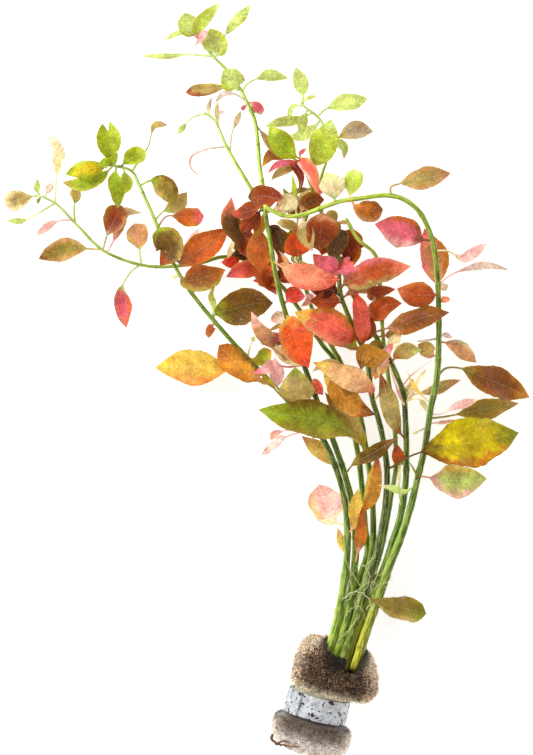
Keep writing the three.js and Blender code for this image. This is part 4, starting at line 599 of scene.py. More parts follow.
def midrib(stem, place, points, count):
    """The midrib of a leaf, from inside its stem to its tip."""
    path = stem_paths[stem]
    nearest = int(np.argmin(np.linalg.norm(path[:, :2] - place, axis=1)))
    radius = np.interp(nearest / len(path), (0, 1), stem_ends[stem])
    along = directions(path)[0][nearest]
    out = np.asarray(points[0], float) - path[nearest]
    if nearest < CROWN * len(path):
        out -= along * (out @ along)
    start = path[nearest] + out / np.linalg.norm(out) * radius * 0.5
    return smooth_path([start, *points], count)


# %% [markdown]
# A blade of this plant is oval with a pointed tip, widest near its middle, and runs down into a short
# stalk. Each station of the midrib gets the blade's half width there, how far its edges are lifted (the
# fold), and its share of the widest place, which says how much it waves. Three forms cover the bunch.

# %% Blade outline
FORMS = {"oval": (0.92, 2.0), "round": (0.9, 2.7), "blunt": (1.45, 3.0)}
STALK_RADIUS = 0.45


def blade_width(form, share):
    """Width of a blade from its wedge-shaped base (0) to its pointed tip (1), as a share of the full one."""
    along, fullness = FORMS[form]
    lens = 1 - np.abs(2 * share**along - 1) ** fullness
    return lens ** (1.25 - 0.2 * share)


def leaf_stations(path, width, form, stalk, roll, fold, seed):
    """One leaf as columns: place, side, upper side, half width, lift of the edges, share of length, seed."""
    t = np.linspace(0, 1, len(path))
    full = np.ones(len(path))
    along, side, above = directions(path)
    turn = -math.radians(roll)
    rolled = side * math.cos(turn) + above * math.sin(turn)
    share = (t - stalk) / (1 - stalk)
    inside = (share > 0) & (share < 1)
    blade = np.where(inside, blade_width(form, np.where(inside, share, 0.5)), 0) * width / 2
    return {
        "place": path - MIDDLE, "side": rolled, "above": np.cross(along, rolled),
        "half": np.maximum(blade, STALK_RADIUS * (1 - 0.75 * t)),
        "lift": blade * math.tan(math.radians(fold)),
        "blade": np.clip(blade / width * 2, 0, 1), "along": t, "seed": full * seed,
        "length": full * gaps(path).sum(),
    }


# %% [markdown]
# All leaves are made by one Geometry Nodes tree. It takes a chain of midrib stations, turns it into a
# curve and sweeps a ring along it. Then each point of the ring is laid onto the blade: the ring's X says
# how far out from the midrib it is, and its Y whether it is on the upper or the lower skin. Small sums of
# sines and noise raise the midrib, press in the side veins and let the margin wave, and no two leaves get
# the same wave because every leaf carries its own seed. A number in a tree is wrapped in a small class, so
# that its sums read like sums: each sign makes one Math node.

# %% Node helpers
class Value:
    """A number in a node tree. A sum with it adds a Math node to its tree."""

    def __init__(self, socket):
        self.socket = socket

    def __add__(self, other):
        return maths("ADD", self, other)

    def __sub__(self, other):
        return maths("SUBTRACT", self, other)

    def __rsub__(self, other):
        return maths("SUBTRACT", other, self)

    def __mul__(self, other):
        return maths("MULTIPLY", self, other)

    def __truediv__(self, other):
        return maths("DIVIDE", self, other)

    def __pow__(self, other):
        return maths("POWER", self, other)

    def __abs__(self):
        return maths("ABSOLUTE", self)


def node(tree, kind, links=(), **settings):
    """A node with its settings, and its inputs linked to sockets or set to values."""
    made = tree.nodes.new(kind)
    for key, setting in settings.items():
        setattr(made, key, setting)
    for slot, value in dict(links).items():
        value = getattr(value, "socket", value)
        if isinstance(value, bpy.types.NodeSocket):
            tree.links.new(value, made.inputs[slot])
        else:
            made.inputs[slot].default_value = value
    return made


def maths(operation, *values):
    """A Math node on values and numbers, in the tree that the first value is in."""
    tree = next(value.socket.id_data for value in values if isinstance(value, Value))
    return Value(node(tree, "ShaderNodeMath", dict(enumerate(values)), operation=operation).outputs[0])


def vector(operation, first, second=None, scale=None):
    """A Vector Math node on a vector socket; scale is for the operation of that name."""
    given = {0: first, 1: second, "Scale": scale}
    links = {slot: value for slot, value in given.items() if value is not None}
    return node(first.id_data, "ShaderNodeVectorMath", links, operation=operation).outputs["Vector"]


def parts(tree, place):
    """The X, Y and Z of a vector."""
    return [Value(part) for part in node(tree, "ShaderNodeSeparateXYZ", {"Vector": place}).outputs]


def noise_at(tree, x, y, z, scale, detail):
    """Noise at a place that is made of three numbers."""
    place = node(tree, "ShaderNodeCombineXYZ", {"X": x, "Y": y, "Z": z}).outputs[0]
    links = {"Vector": place, "Scale": scale, "Detail": detail}
    return Value(node(tree, "ShaderNodeTexNoise", links).outputs[0])


def position(tree):
    """The place of each point."""
    return node(tree, "GeometryNodeInputPosition").outputs[0]


def attribute(tree, name):
    """A named number of each point."""
    made = node(tree, "GeometryNodeInputNamedAttribute", {"Name": name}, data_type="FLOAT")
    return Value(made.outputs["Attribute"])


def vector_attribute(tree, name):
    """A named vector of each point."""
    made = node(tree, "GeometryNodeInputNamedAttribute", {"Name": name}, data_type="FLOAT_VECTOR")
    return made.outputs["Attribute"]


def new_tree(name, inputs):
    """An empty geometry tree with named inputs (name, kind, value); returns it, its inputs and its end."""
    tree = bpy.data.node_groups.new(name, "GeometryNodeTree")
    tree.interface.new_socket("Geometry", in_out="OUTPUT", socket_type="NodeSocketGeometry")
    for label, kind, value in [("Geometry", "Geometry", None), *inputs]:
        socket = tree.interface.new_socket(label, in_out="INPUT", socket_type="NodeSocket" + kind)
        if value is not None:
            socket.default_value = value
    given = {socket.name: Value(socket) for socket in tree.nodes.new("NodeGroupInput").outputs if socket.name}
    return tree, given, tree.nodes.new("NodeGroupOutput")


def finish_tree(tree, given, target, geometry):
    """Every tree ends in real geometry with its material set."""
    real = node(tree, "GeometryNodeRealizeInstances", {"Geometry": geometry}).outputs[0]
    links = {"Geometry": real, "Material": given["Material"]}
    dressed = node(tree, "GeometryNodeSetMaterial", links).outputs[0]
    tree.links.new(dressed, target.inputs["Geometry"])


def add_object(name, data):
    """A new object in the scene."""
    made = bpy.data.objects.new(name, data)
    bpy.context.scene.collection.objects.link(made)
    return made


def bake_modifiers(item):
    """Turns an object's modifiers into plain mesh."""
    mesh = bpy.data.meshes.new_from_object(item.evaluated_get(bpy.context.evaluated_depsgraph_get()))
    item.modifiers.clear()
    item.data = mesh
    mesh.name = item.name


def run_tree(tree, source_mesh, name, values):
    """A new plain mesh object: the tree run once on the source mesh with its named inputs set."""
    carrier = add_object(name, source_mesh)
    modifier = carrier.modifiers.new("shape", "NODES")
    modifier.node_group = tree
    for item in tree.interface.items_tree:
        if item.in_out == "INPUT" and item.name in values:
            modifier[item.identifier] = values[item.name]
    bake_modifiers(carrier)
    return carrier


# %% Sweeping a ring
def sweep_ring(tree, given):
    """A ring swept along each chain, and the ring's own X and Y at each point."""
    links = {"Resolution": given["Ring points"], "Radius": 1.0}
    circle = node(tree, "GeometryNodeCurvePrimitiveCircle", links)
    ring = node(
        tree, "GeometryNodeStoreNamedAttribute",
        {"Geometry": circle.outputs["Curve"], "Name": "ring", "Value": position(tree)},
        data_type="FLOAT_VECTOR", domain="POINT",
    ).outputs["Geometry"]
    spine = node(tree, "GeometryNodeMeshToCurve", {"Mesh": given["Geometry"]}).outputs[0]
    swept = node(tree, "GeometryNodeCurveToMesh", {"Curve": spine, "Profile Curve": ring, "Fill Caps": True})
    return swept.outputs[0], *parts(tree, vector_attribute(tree, "ring"))[:2]


def lay_ring(tree, given, target, swept, sideways, upwards):
    """Puts each point of the swept ring beside and above its station, smooth, and finishes the tree."""
    place, side, above = (vector_attribute(tree, name) for name in ("place", "side", "above"))
    place = vector("ADD", place, vector("SCALE", side, scale=sideways))
    place = vector("ADD", place, vector("SCALE", above, scale=upwards))
    place = vector("SCALE", place, scale=MM)
    laid = node(tree, "GeometryNodeSetPosition", {"Geometry": swept, "Position": place}).outputs[0]
    finish_tree(tree, given, target, node(tree, "GeometryNodeSetShadeSmooth", {"Geometry": laid}).outputs[0])


def chains_mesh(name, chains):
    """A mesh of open chains of edges. Each chain is a dictionary of columns that become point attributes."""
    mesh = bpy.data.meshes.new(name)
    edges = []
    start = 0
    for chain in chains:
        count = len(chain["place"])
        edges += [(start + i, start + i + 1) for i in range(count - 1)]
        start += count
    columns = {key: np.concatenate([chain[key] for chain in chains]) for key in chains[0]}
    mesh.from_pydata(columns["place"].tolist(), edges, [])
    for key, values in columns.items():
        kind, field = ("FLOAT_VECTOR", "vector") if values.ndim == 2 else ("FLOAT", "value")
        layer = mesh.attributes.new(key, kind, "POINT")
        layer.data.foreach_set(field, values.ravel().astype(np.float32))
    return mesh


# %% Leaf tree
VEIN_GAP = 2.3
VEIN_SLANT = 0.75


def leaf_tree():
    """Sweeps a ring along each midrib and lays it onto the blade."""
    tree, given, target = new_tree("Leaf blade", [
        ("Ring points", "Int", 32), ("Skin", "Float", 0.11), ("Rib", "Float", 0.28),
        ("Rib reach", "Float", 0.55), ("Vein depth", "Float", 0.09), ("Vein gap", "Float", VEIN_GAP),
        ("Margin wave", "Float", 0.5), ("Twist", "Float", 0.34), ("Unevenness", "Float", 0.06),
        ("Material", "Material", None),
    ])
    swept, across, skin_side = sweep_ring(tree, given)
    half, blade, seed, along = (attribute(tree, name) for name in ("half", "blade", "seed", "along"))
    travelled = along * attribute(tree, "length")
    out = across * half
    reach = abs(across)
    turned = seed * 1.7

    # The skin is thin over the blade and swells at the midrib, most of all in the stalk.
    near_rib = maths("EXPONENT", (out / given["Rib reach"]) ** 2.0 * -1.0)
    height = skin_side * (given["Skin"] + given["Rib"] * near_rib * (1.15 - along))

    # The fold lifts both halves, the veins furrow them, and the margin waves.
    fold = attribute(tree, "lift") * reach ** 1.35
    phase = (travelled - abs(out) * VEIN_SLANT) / given["Vein gap"] * (2 * math.pi)
    furrow = abs(maths("SINE", phase * 0.5)) ** 0.5
    veins = furrow * given["Vein depth"] * ((1.0 - reach ** 6.0) * blade)
    swing = maths("SINE", travelled * 0.55 + turned + across * 1.3)
    wave = swing * (given["Margin wave"] * blade * (reach * reach))
    raised = height + fold + (veins + wave)

    # The blade turns a little about its midrib as it goes, less where it lies close to the table.
    spine_height = parts(tree, vector_attribute(tree, "place"))[2]
    links = {"Value": spine_height, "From Min": 1.5, "From Max": 11.0}
    freedom = node(tree, "ShaderNodeMapRange", links).outputs[0]
    sway = maths("SINE", travelled * 0.24 + seed * 5.1)
    raised = raised + out * (sway * given["Twist"] * (blade * freedom))

    # No blade is even: one side bulges where the other is drawn in, and noise makes the margin ragged.
    ragged = (noise_at(tree, travelled * 0.5, across, turned, 1.0, 2.0) - 0.5) * 0.22
    bulge = maths("SINE", travelled * 0.37 + seed * 2.3 + across * 1.4) * given["Unevenness"]
    lay_ring(tree, given, target, swept, out * ((ragged + bulge) * reach + 1.0), raised)
    return tree


LEAF_TREE = leaf_tree()
print("leaf tree has", len(LEAF_TREE.nodes), "nodes")


# %% [markdown]
# A stem is a slightly uneven rod. It thins towards its crown, swells a little at its joints, and has faint
# ridges along it. The stem tree works as the leaf tree does, with a round ring instead of a flat one.

# %% Stem tree
JOINT_GAP = 15.0
FOOT_REACH = (40, 95)  # from this far below the middle of the plan a stem grows stouter, up to this far


def stem_tree():
    """Sweeps a ring along each stem and makes it uneven."""
    tree, given, target = new_tree("Stem", [
        ("Ring points", "Int", 14), ("Ridge", "Float", 0.05), ("Swelling", "Float", 0.12),
        ("Joint gap", "Float", JOINT_GAP), ("Unevenness", "Float", 0.3), ("Material", "Material", None),
    ])
    swept, sideways, upwards = sweep_ring(tree, given)
    seed = attribute(tree, "seed")
    travelled = attribute(tree, "along") * attribute(tree, "length")
    cycle = travelled / given["Joint gap"] + seed
    swelling = abs(maths("COSINE", cycle * math.pi)) ** 30.0 * given["Swelling"]
    ridges = maths("SINE", maths("ARCTAN2", upwards, sideways) * 5.0) * given["Ridge"]
    uneven = (noise_at(tree, travelled * 0.22, upwards, seed, 1.0, 3.0) - 0.5) * given["Unevenness"]
    radius = attribute(tree, "half") * (swelling + 1.0 + (ridges + uneven))
    lay_ring(tree, given, target, swept, sideways * radius, upwards * radius)
    return tree


def smoothstep(value, low, high):
    """0 below low, 1 above high, smooth between them."""
    t = np.clip((value - low) / (high - low), 0, 1)
    return t * t * (3 - 2 * t)


def rod_stations(path, start_radius, end_radius, seed, foot_growth=0.0):
    """A stem or a root as columns; its ends are rounded off. A stem is stouter near the plug."""
    along, side, above = directions(path)
    t = np.linspace(0, 1, len(path))
    full = np.ones(len(path))
    length = gaps(path).sum()
    radius = start_radius + (end_radius - start_radius) * t
    radius *= 1 + foot_growth * smoothstep(-path[:, 1], *FOOT_REACH)
    from_end = np.minimum(t, 1 - t) * length
    rounding = np.sqrt(np.clip(1 - (1 - np.clip(from_end / radius, 0, 1)) ** 2, 0.02, 1))
    return {
        "place": path - MIDDLE, "side": side, "above": above, "half": radius * rounding, "along": t,
        "seed": full * seed, "length": full * length,
    }


STEM_TREE = stem_tree()
print("stem tree has", len(STEM_TREE.nodes), "nodes")


# %% [markdown]
# The leaves are thin, so light that falls on one side also glows on the other: subsurface scattering gives
# that. Each point already carries its own tone (painted further down), and the shader adds what is finer
# than the mesh: grain, blotches, broad patches of painted sheen and shade, pale veins, a light midrib and a
# few specks of painted glint. Every pattern reads the object's coordinates or the leaf's own attributes,
# so it stays on the leaf from every side.

# %% Shader helpers
def new_material(name, settings):
    """A material with these settings; returns it, its tree and its Principled shader."""
    material = bpy.data.materials.new(name)
    material.use_nodes = True
    tree = material.node_tree
    shader = tree.nodes["Principled BSDF"]
    for slot, setting in settings.items():
        shader.inputs[slot].default_value = setting
    return material, tree, shader


def mix(tree, share, first, second, blend="MIX"):
    """A colour mix of two colours or sockets."""
    links = {0: share, 6: first, 7: second}
    links |= {slot: (*colour, 1.0) for slot, colour in links.items() if isinstance(colour, tuple)}
    return node(tree, "ShaderNodeMix", links, data_type="RGBA", blend_type=blend).outputs[2]


def overlay(tree, colour, layers):
    """Multiplies a colour by tones: each layer has a pattern, its low and high end, a share and a tone."""
    for pattern, low, high, share, tone in layers:
        colour = mix(tree, ramp(pattern, low, high) * share, colour, tone, "MULTIPLY")
    return colour


def ramp(value, low, high):
    """A smooth step of a value from 0 at low to 1 at high."""
    links = {"Value": value, "From Min": low, "From Max": high}
    made = node(value.socket.id_data, "ShaderNodeMapRange", links, interpolation_type="SMOOTHSTEP")
    return Value(made.outputs["Result"])


def grain(tree, scale, detail=4.0, roughness=0.6):
    """Noise on the object's coordinates; the scale is in cells per metre."""
    place = node(tree, "ShaderNodeTexCoord").outputs["Object"]
    links = {"Vector": place, "Scale": scale, "Detail": detail, "Roughness": roughness}
    return Value(node(tree, "ShaderNodeTexNoise", links).outputs[0])


def read(tree, name, output="Fac"):
    """A mesh attribute in a shader."""
    return Value(node(tree, "ShaderNodeAttribute", attribute_name=name).outputs[output])


def finish_material(tree, shader, colour, height, distance):
    """Links the colour, and a bump from a height."""
    tree.links.new(colour, shader.inputs["Base Color"])
    made = node(tree, "ShaderNodeBump", {"Height": height, "Strength": 0.6, "Distance": distance})
    tree.links.new(made.outputs["Normal"], shader.inputs["Normal"])


# %% Leaf material
def leaf_material():
    """Painted tone, then blotches, patches of painted sheen and shade, veins, midrib and specks of painted
    glint.
    """
    material, tree, shader = new_material("Living leaf", {
        "Roughness": 0.42, "Specular IOR Level": 0.14, "Subsurface Weight": 0.3,
        "Subsurface Radius": (1.0, 0.6, 0.25), "Subsurface Scale": 0.0012,
    })
    tone = read(tree, "tint", "Color")
    blotch = grain(tree, 230, 5.0, 0.65)
    painted_sheen = grain(tree, 120, 2.0, 0.5)
    fine = grain(tree, 1050, 4.0, 0.72)
    ring_x, ring_y, _ = parts(tree, read(tree, "ring", "Vector"))
    out = abs(ring_x * read(tree, "half"))
    slanted = read(tree, "along") * read(tree, "length") - out * VEIN_SLANT
    streaks = noise_at(tree, slanted, out * 0.3, ring_x * 0.4 + read(tree, "seed"), 1.2, 4.0)
    # Broad patches of painted sheen: some are lightened as highlights, others darkened as shade.
    colour = overlay(tree, tone, (
        (blotch, 0.5, 0.7, 0.42, (0.56, 0.4, 0.32)), (blotch, 0.48, 0.3, 0.55, (1.6, 1.5, 1.25)),
        (painted_sheen, 0.53, 0.66, 0.4, (0.55, 0.45, 0.4)), (painted_sheen, 0.5, 0.38, 0.4, (1.8, 1.75, 1.6)),
        (fine, 0.48, 0.66, 0.36, (0.6, 0.46, 0.36)), (fine, 0.5, 0.36, 0.36, (1.7, 1.6, 1.35)),
        (streaks, 0.5, 0.66, 0.3, (0.6, 0.46, 0.36)), (streaks, 0.5, 0.34, 0.36, (1.6, 1.5, 1.3)),
    ))
    vein = ramp(abs(maths("SINE", slanted / VEIN_GAP * math.pi)), 0.2, 0.0) * ramp(abs(ring_x), 1.0, 0.5)
    pale = mix(tree, 0.25, mix(tree, 1.0, tone, (1.7, 1.7, 1.4), "MULTIPLY"), (0.9, 0.8, 0.45))
    colour = mix(tree, vein * 0.26, colour, pale)
    colour = mix(tree, ramp(out, 0.3, 0.06) * 0.3, colour, pale)
    colour = overlay(tree, colour, [(abs(ring_x), 0.91, 0.99, 0.6, (0.46, 0.28, 0.16))])
    colour = mix(tree, ramp(ring_y, 0.0, -0.3) * 0.2, colour, (0.8, 0.6, 0.3), "SCREEN")
    # Painted glints: tiny near-white specks stand in for glare.
    painted_glint = ramp(grain(tree, 2300, 1.0, 0.5), 0.73, 0.765)
    colour = mix(tree, painted_glint * 0.8, colour, (0.95, 0.93, 0.86))
    finish_material(tree, shader, colour, fine + blotch, 0.00012)
    return material


LEAF_MATERIAL = leaf_material()


# %% [markdown]
# A stem is yellow-green and glossy, with thin dark and light streaks along it and a few brown scars. Its
# flanks get a painted glow, as of light shining through, and tiny pale specks of painted glint.

# %% Stem material
def stem_material():
    """Tone from the painted attribute, streaks along the stem, a painted glow on its flanks, painted glints
    and a few scars.
    """
    material, tree, shader = new_material("Living stem", {
        "Roughness": 0.36, "Specular IOR Level": 0.22, "Subsurface Weight": 0.2,
        "Subsurface Radius": (0.8, 1.0, 0.2), "Subsurface Scale": 0.001,
    })
    ring_x, ring_y, _ = parts(tree, read(tree, "ring", "Vector"))
    travelled = read(tree, "along") * read(tree, "length")
    streaks = noise_at(tree, travelled * 0.12, ring_x * 2.6, ring_y * 2.6 + read(tree, "seed"), 1.6, 4.0)
    scars = grain(tree, 700, 4.0, 0.7)
    colour = overlay(tree, read(tree, "tint", "Color"), [(streaks, 0.48, 0.6, 0.8, (0.2, 0.34, 0.05))])
    colour = mix(tree, ramp(streaks, 0.5, 0.36) * 0.4, colour, (0.66, 0.75, 0.16), "SCREEN")
    # Painted glow: both flanks of the stem are lightened, as of light shining through it.
    colour = mix(tree, ramp(abs(ring_x), 0.55, 1.0) * 0.4, colour, (0.62, 0.78, 0.16), "SCREEN")
    colour = mix(tree, ramp(scars, 0.64, 0.7) * 0.5, colour, (0.22, 0.12, 0.04))
    # Painted glints: tiny near-white specks stand in for glare.
    painted_glint = ramp(grain(tree, 2300, 1.0, 0.5), 0.7, 0.745)
    colour = mix(tree, painted_glint * 0.85, colour, (0.96, 0.95, 0.88))
    finish_material(tree, shader, colour, streaks + scars, 0.00015)
    return material


STEM_MATERIAL = stem_material()
print("leaf and stem materials made")


# %% [markdown]
# Now the plants themselves. After a leaf is swept, its points are painted: the tone goes from the base
# tone of the stalk to the heart of the blade and on to the tip, and towards each margin it turns into that
# side's tone. A slow wobble keeps the borders between two tones from being straight.

# %% Painting
def column(mesh, name):
    """A float or vector point attribute of a mesh as an array."""
    layer = mesh.attributes[name]
    wide = layer.data_type == "FLOAT_VECTOR"
    values = np.empty(len(mesh.vertices) * (3 if wide else 1), np.float32)
    layer.data.foreach_get("vector" if wide else "value", values)
    return values.reshape(-1, 3) if wide else values


def write_tint(mesh, colours):
    """Stores a linear colour for each point."""
    layer = mesh.color_attributes.new("tint", "FLOAT_COLOR", "POINT")
    solid = np.column_stack((colours, np.ones(len(colours))))
    layer.data.foreach_set("color", solid.ravel().astype(np.float32))


def paint_leaves(mesh, looks):
    """Paints every leaf of a mesh; looks gives the share of stalk and the tones for each seed."""
    along, across, seeds = column(mesh, "along"), column(mesh, "ring")[:, 0], column(mesh, "seed")
    x, y, z = (column(mesh, "position") / MM).T
    wobble = np.sin(x * 0.83 + y * 0.41 + seeds) * np.sin(y * 0.92 - x * 0.37 + seeds * 2.1)
    wobble += 0.5 * np.sin(x * 2.1 - z * 1.3 + seeds) * np.sin(y * 1.9 + x * 0.9)
    colours = np.zeros((len(along), 3))
    for seed, (stalk, tones) in looks.items():
        own = np.abs(seeds - seed) < 0.01
        base, heart, tip, left, right = (linear(tone) for tone in tones)
        share = (along[own] - stalk) / (1 - stalk) + 0.07 * wobble[own]
        out = across[own] + 0.16 * wobble[own]
        painted = np.tile(heart, (own.sum(), 1))
        for tone, amount in (
            (left, smoothstep(out, 0.35, 0.95)), (right, smoothstep(-out, 0.35, 0.95)),
            (tip, smoothstep(share, 0.62, 0.98)), (base, 1 - smoothstep(share, 0.0, 0.32)),
        ):
            painted += (tone - painted) * amount[:, None]
        colours[own] = painted
    write_tint(mesh, colours)


# %% Large leaves
BLADE_STATIONS, BLADE_RING = 56, 36  # stations along a blade, points round it


def sweep_leaves(name, rows, ring_points):
    """One mesh object with a swept and painted blade for each row."""
    chains = []
    looks = {}
    for seed, path, width, form, stalk, roll, fold, tones in rows:
        chains.append(leaf_stations(path, width, form, stalk, roll, fold, seed))
        looks[seed] = (stalk, tones)
    settings = {"Ring points": ring_points, "Material": LEAF_MATERIAL}
    made = run_tree(LEAF_TREE, chains_mesh(name, chains), name, settings)
    paint_leaves(made.data, looks)
    return made


for number, (word, stem, slot, width, form, stalk, roll, fold, tones, place, points) in enumerate(LEAVES):
    name = "leaf_" + word
    path = midrib(stem, place, points, BLADE_STATIONS)
    row = (number, path, width, form, stalk, roll, fold, tones.split())
    blade = sweep_leaves(name + "_blade", [row], BLADE_RING)
    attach(blade, "root")
    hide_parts(name)
print(len(LEAVES), "larger leaves,", len(blade.data.polygons), "faces each")


# %% [markdown]
# A stem and its smaller leaves are one piece in nature, so each stem is swept, its smaller leaves are swept
# onto it, and the two are joined. The tones run from the foot of a stem to its crown, which is the palest
# part of most of them, and a highlight and shade are painted on either side of it.

# %% Stems with their smaller leaves
STEM_TONES = {
    "left": "green leek pine leek leek green spring",
    "tall": "green leek leek pine leek lime green spring",
    "low": "green leek leek green spring",
    "back": "moss leek leek green spring",
    "dark": "moss pine pine leek moss",
    "thick": "citron leek pine leek green",
    "pale": "green leek green neon",
    "arch": "citron moss leek pine leek moss lime neon neon",
    "branch": "moss green lime spring",
}
SHOOT_STATIONS, SHOOT_RING = 34, 20
ROLL_SPREAD = 24  # degrees
FOLD_MIDDLE, FOLD_SPREAD = 14, 9  # degrees
FOOT_GROWTH = 0.22
# the direction of the key light, from which a highlight is painted onto the stems
PAINTED_LIGHT_DIRECTION = np.array((-0.68, 0.3, 0.67))


def paint_stem(mesh, tones):
    """Blends the tones from foot to crown, with a painted highlight on the side facing the upper left and
    painted shade behind.
    """
    along = column(mesh, "along")
    stops = np.array([linear(tone) for tone in tones.split()])
    shares = np.linspace(0, 1, len(stops))
    colours = np.column_stack([np.interp(along, shares, stops[:, k]) for k in range(3)])
    normals = np.empty(len(mesh.vertices) * 3, np.float32)
    mesh.vertex_normals.foreach_get("vector", normals)
    # Painted light: the side facing the upper left is lightened as a highlight, the side turned away darkened
    # as shade.
    painted_light_facing = normals.reshape(-1, 3) @ PAINTED_LIGHT_DIRECTION
    colours += (1.1 * colours + 0.07) * smoothstep(painted_light_facing, 0.7, 0.98)[:, None]
    colours *= 1 - 0.85 * smoothstep(-painted_light_facing, -0.45, 0.45)[:, None]
    cycle = along * column(mesh, "length") / JOINT_GAP + column(mesh, "seed")
    strength = 0.3 + 0.25 * np.sin(37.0 * np.round(cycle))
    joint = (strength * smoothstep(np.abs(np.cos(math.pi * cycle)), 0.99, 0.999))[:, None]
    colours = colours * (1 - joint) + np.array(linear("umber")) * joint
    write_tint(mesh, colours)


def select_only(items):
    """Selects these objects alone, the first one active."""
    bpy.ops.object.select_all(action="DESELECT")
    for item in items:
        item.select_set(True)
    bpy.context.view_layer.objects.active = items[0]


def join(objects, name):
    """Joins mesh objects into the first one."""
    select_only(objects)
    bpy.ops.object.join()
    objects[0].name = objects[0].data.name = name
    return objects[0]


for number, word in enumerate(STEMS):
    name = "stem_" + word
    hosts = (word, "branch") if word == "tall" else (word,)
    rods = []
    for host in hosts:
        chain = rod_stations(stem_paths[host], *stem_ends[host], number + 0.3, FOOT_GROWTH)
        settings = {"Material": STEM_MATERIAL}
        rod = run_tree(STEM_TREE, chains_mesh(host, [chain]), host + "_rod", settings)
        paint_stem(rod.data, STEM_TONES[host])
        rods.append(rod)
    shoots = []
    for seed, (host, width, form, stalk, tones, place, points) in enumerate(SHOOTS + CROWD):
        if host in hosts:
            base, heart, tip = tones.split()
            roll = ROLL_SPREAD * math.sin(seed * 2.4)
            fold = FOLD_MIDDLE + FOLD_SPREAD * math.cos(seed * 1.3)
            path = midrib(host, place, points, SHOOT_STATIONS)
            shoots.append((seed, path, width, form, stalk, roll, fold, (base, heart, tip, heart, heart)))
    whole = join(rods + [sweep_leaves(name + "_shoots", shoots, SHOOT_RING)], name + "_plant")
    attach(whole, "root")
    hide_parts(name)
    print(name, "with", len(shoots), "smaller leaves:", len(whole.data.polygons), "faces")


# %% [markdown]
# The plug is a block of open-cell foam, squeezed by the strip into two lobes and pushed open by the stems.
# Its body is a stack of rings along one leaning axis. The pocket for the stems and the notch in its rim
# are smaller stacks, cut out of the first, and a voxel remesh turns the result into one even skin.

# %% Plug axis
PLUG_CENTRE = np.array((20.8, -131.5, 14.0)) - MIDDLE
PLUG_LEAN = Matrix.Rotation(math.radians(-14.5), 3, "Z")  # to one side on the plan
PLUG_RISE = Matrix.Rotation(math.radians(7), 3, "X")  # its mouth lies a little higher
PLUG_TURN = np.array(PLUG_LEAN @ PLUG_RISE)


def plug_place(points):
    """Plug coordinates (across, along the axis, up) as places in the frame, in metres."""
    return (np.asarray(points, float) @ PLUG_TURN.T + PLUG_CENTRE) * MM


def tube_faces(rings, around):
    """The faces of a closed tube: rings of points one after the other, and a cap at each end."""
    faces = []
    for start in range(0, (rings - 1) * around, around):
        for j in range(around):
            k = (j + 1) % around
            faces.append((start + j, start + k, start + around + k, start + around + j))
    return faces + [tuple(range(around - 1, -1, -1)), tuple((rings - 1) * around + j for j in range(around))]


def plug_rings(rows, around, steps):
    """A closed mesh over rows of (s, half width, low, high, shift), made smooth between the rows."""
    rows = np.asarray(rows, float)
    even = smooth_path(rows[:, :3], steps)[:, 0]
    dense = np.column_stack([even] + [np.interp(even, rows[:, 0], rows[:, k]) for k in range(1, 5)])
    angles = np.linspace(0, 2 * math.pi, around, endpoint=False)
    points = []
    for s, half_width, low, high, shift in dense:
        middle, reach = (low + high) / 2, (high - low) / 2
        points += [(shift + half_width * math.sin(a), s, middle + reach * math.cos(a)) for a in angles]
    places = plug_place(points)
    places[:, 2] = np.maximum(places[:, 2], 0.0001)
    return places, tube_faces(steps, around)


def mesh_object(name, places, faces):
    """A linked mesh object from points and faces, its faces turned outwards."""
    mesh = bpy.data.meshes.new(name)
    mesh.from_pydata([tuple(p) for p in places], [], faces)
    made = add_object(name, mesh)
    select_only([made])
    bpy.ops.object.mode_set(mode="EDIT")
    bpy.ops.mesh.select_all(action="SELECT")
    bpy.ops.mesh.normals_make_consistent(inside=False)
    bpy.ops.object.mode_set(mode="OBJECT")
    return made


# %% Plug body
FOAM_ROWS = [
    (-19.4, 7, -6, 5, 0.5), (-18, 12, -10, 10, 0.5), (-14.5, 15, -13, 14, 0), (-10, 16.2, -15, 15, -0.4),
    (-6.8, 14.6, -15, 14, -0.6), (-5.2, 10.8, -10.8, 10.8, 0), (5.2, 10.8, -10.8, 10.8, 0),
    (7, 15.6, -15.4, 15, 3.2), (11, 17.4, -17, 16, 4), (16, 17, -17.4, 16, 3), (20.5, 15.6, -17.6, 14.4, 2.2),
    (24, 13.4, -17.6, 11, 1.8), (26.4, 11, -14, 7, 1.6),
]
POCKET_ROWS = [
    (9.6, 6.4, -5, 5.4, 3.6), (13, 7.4, -6, 7, 3.8), (19, 7.8, -7, 8.2, 4.2), (22, 8.2, -7.4, 10, 4.6),
    (26, 8.8, -8, 20, 5), (34, 9.4, -8, 30, 6),
]
NOTCH_ROWS = [(15.4, 2, 2, 8, 8.6), (17.4, 3, 0, 16, 9), (20, 3.6, -1, 26, 9.4), (34, 4.4, -2, 30, 10.4)]
foam = mesh_object("foam_plug_skin", *plug_rings(FOAM_ROWS, 72, 60))
pockets = [mesh_object("pocket", *plug_rings(rows, 48, 30)) for rows in (POCKET_ROWS, NOTCH_ROWS)]
for pocket in pockets:
    cut = foam.modifiers.new("cut", "BOOLEAN")
    cut.operation = "DIFFERENCE"
    cut.object = pocket
skin = foam.modifiers.new("skin", "REMESH")
skin.mode = "VOXEL"
skin.voxel_size = 0.00045
bake_modifiers(foam)
for pocket in pockets:
    bpy.data.objects.remove(pocket)
print("foam skin", len(foam.data.polygons), "faces")


# %% [markdown]
# The foam isn't smooth: it is torn and granular. A Geometry Nodes tree pushes the skin in and out along
# its normals with three sizes of noise, keeps the pressed waist calm, sets loose shreds on both lobes,
# and never lets anything under the floor.

# %% Foam tree
WAIST_CALM = (0.005, 0.0075)  # the foam gets rough between these distances from its waist
SHREDS_FROM = 0.0068  # from here on there are shreds


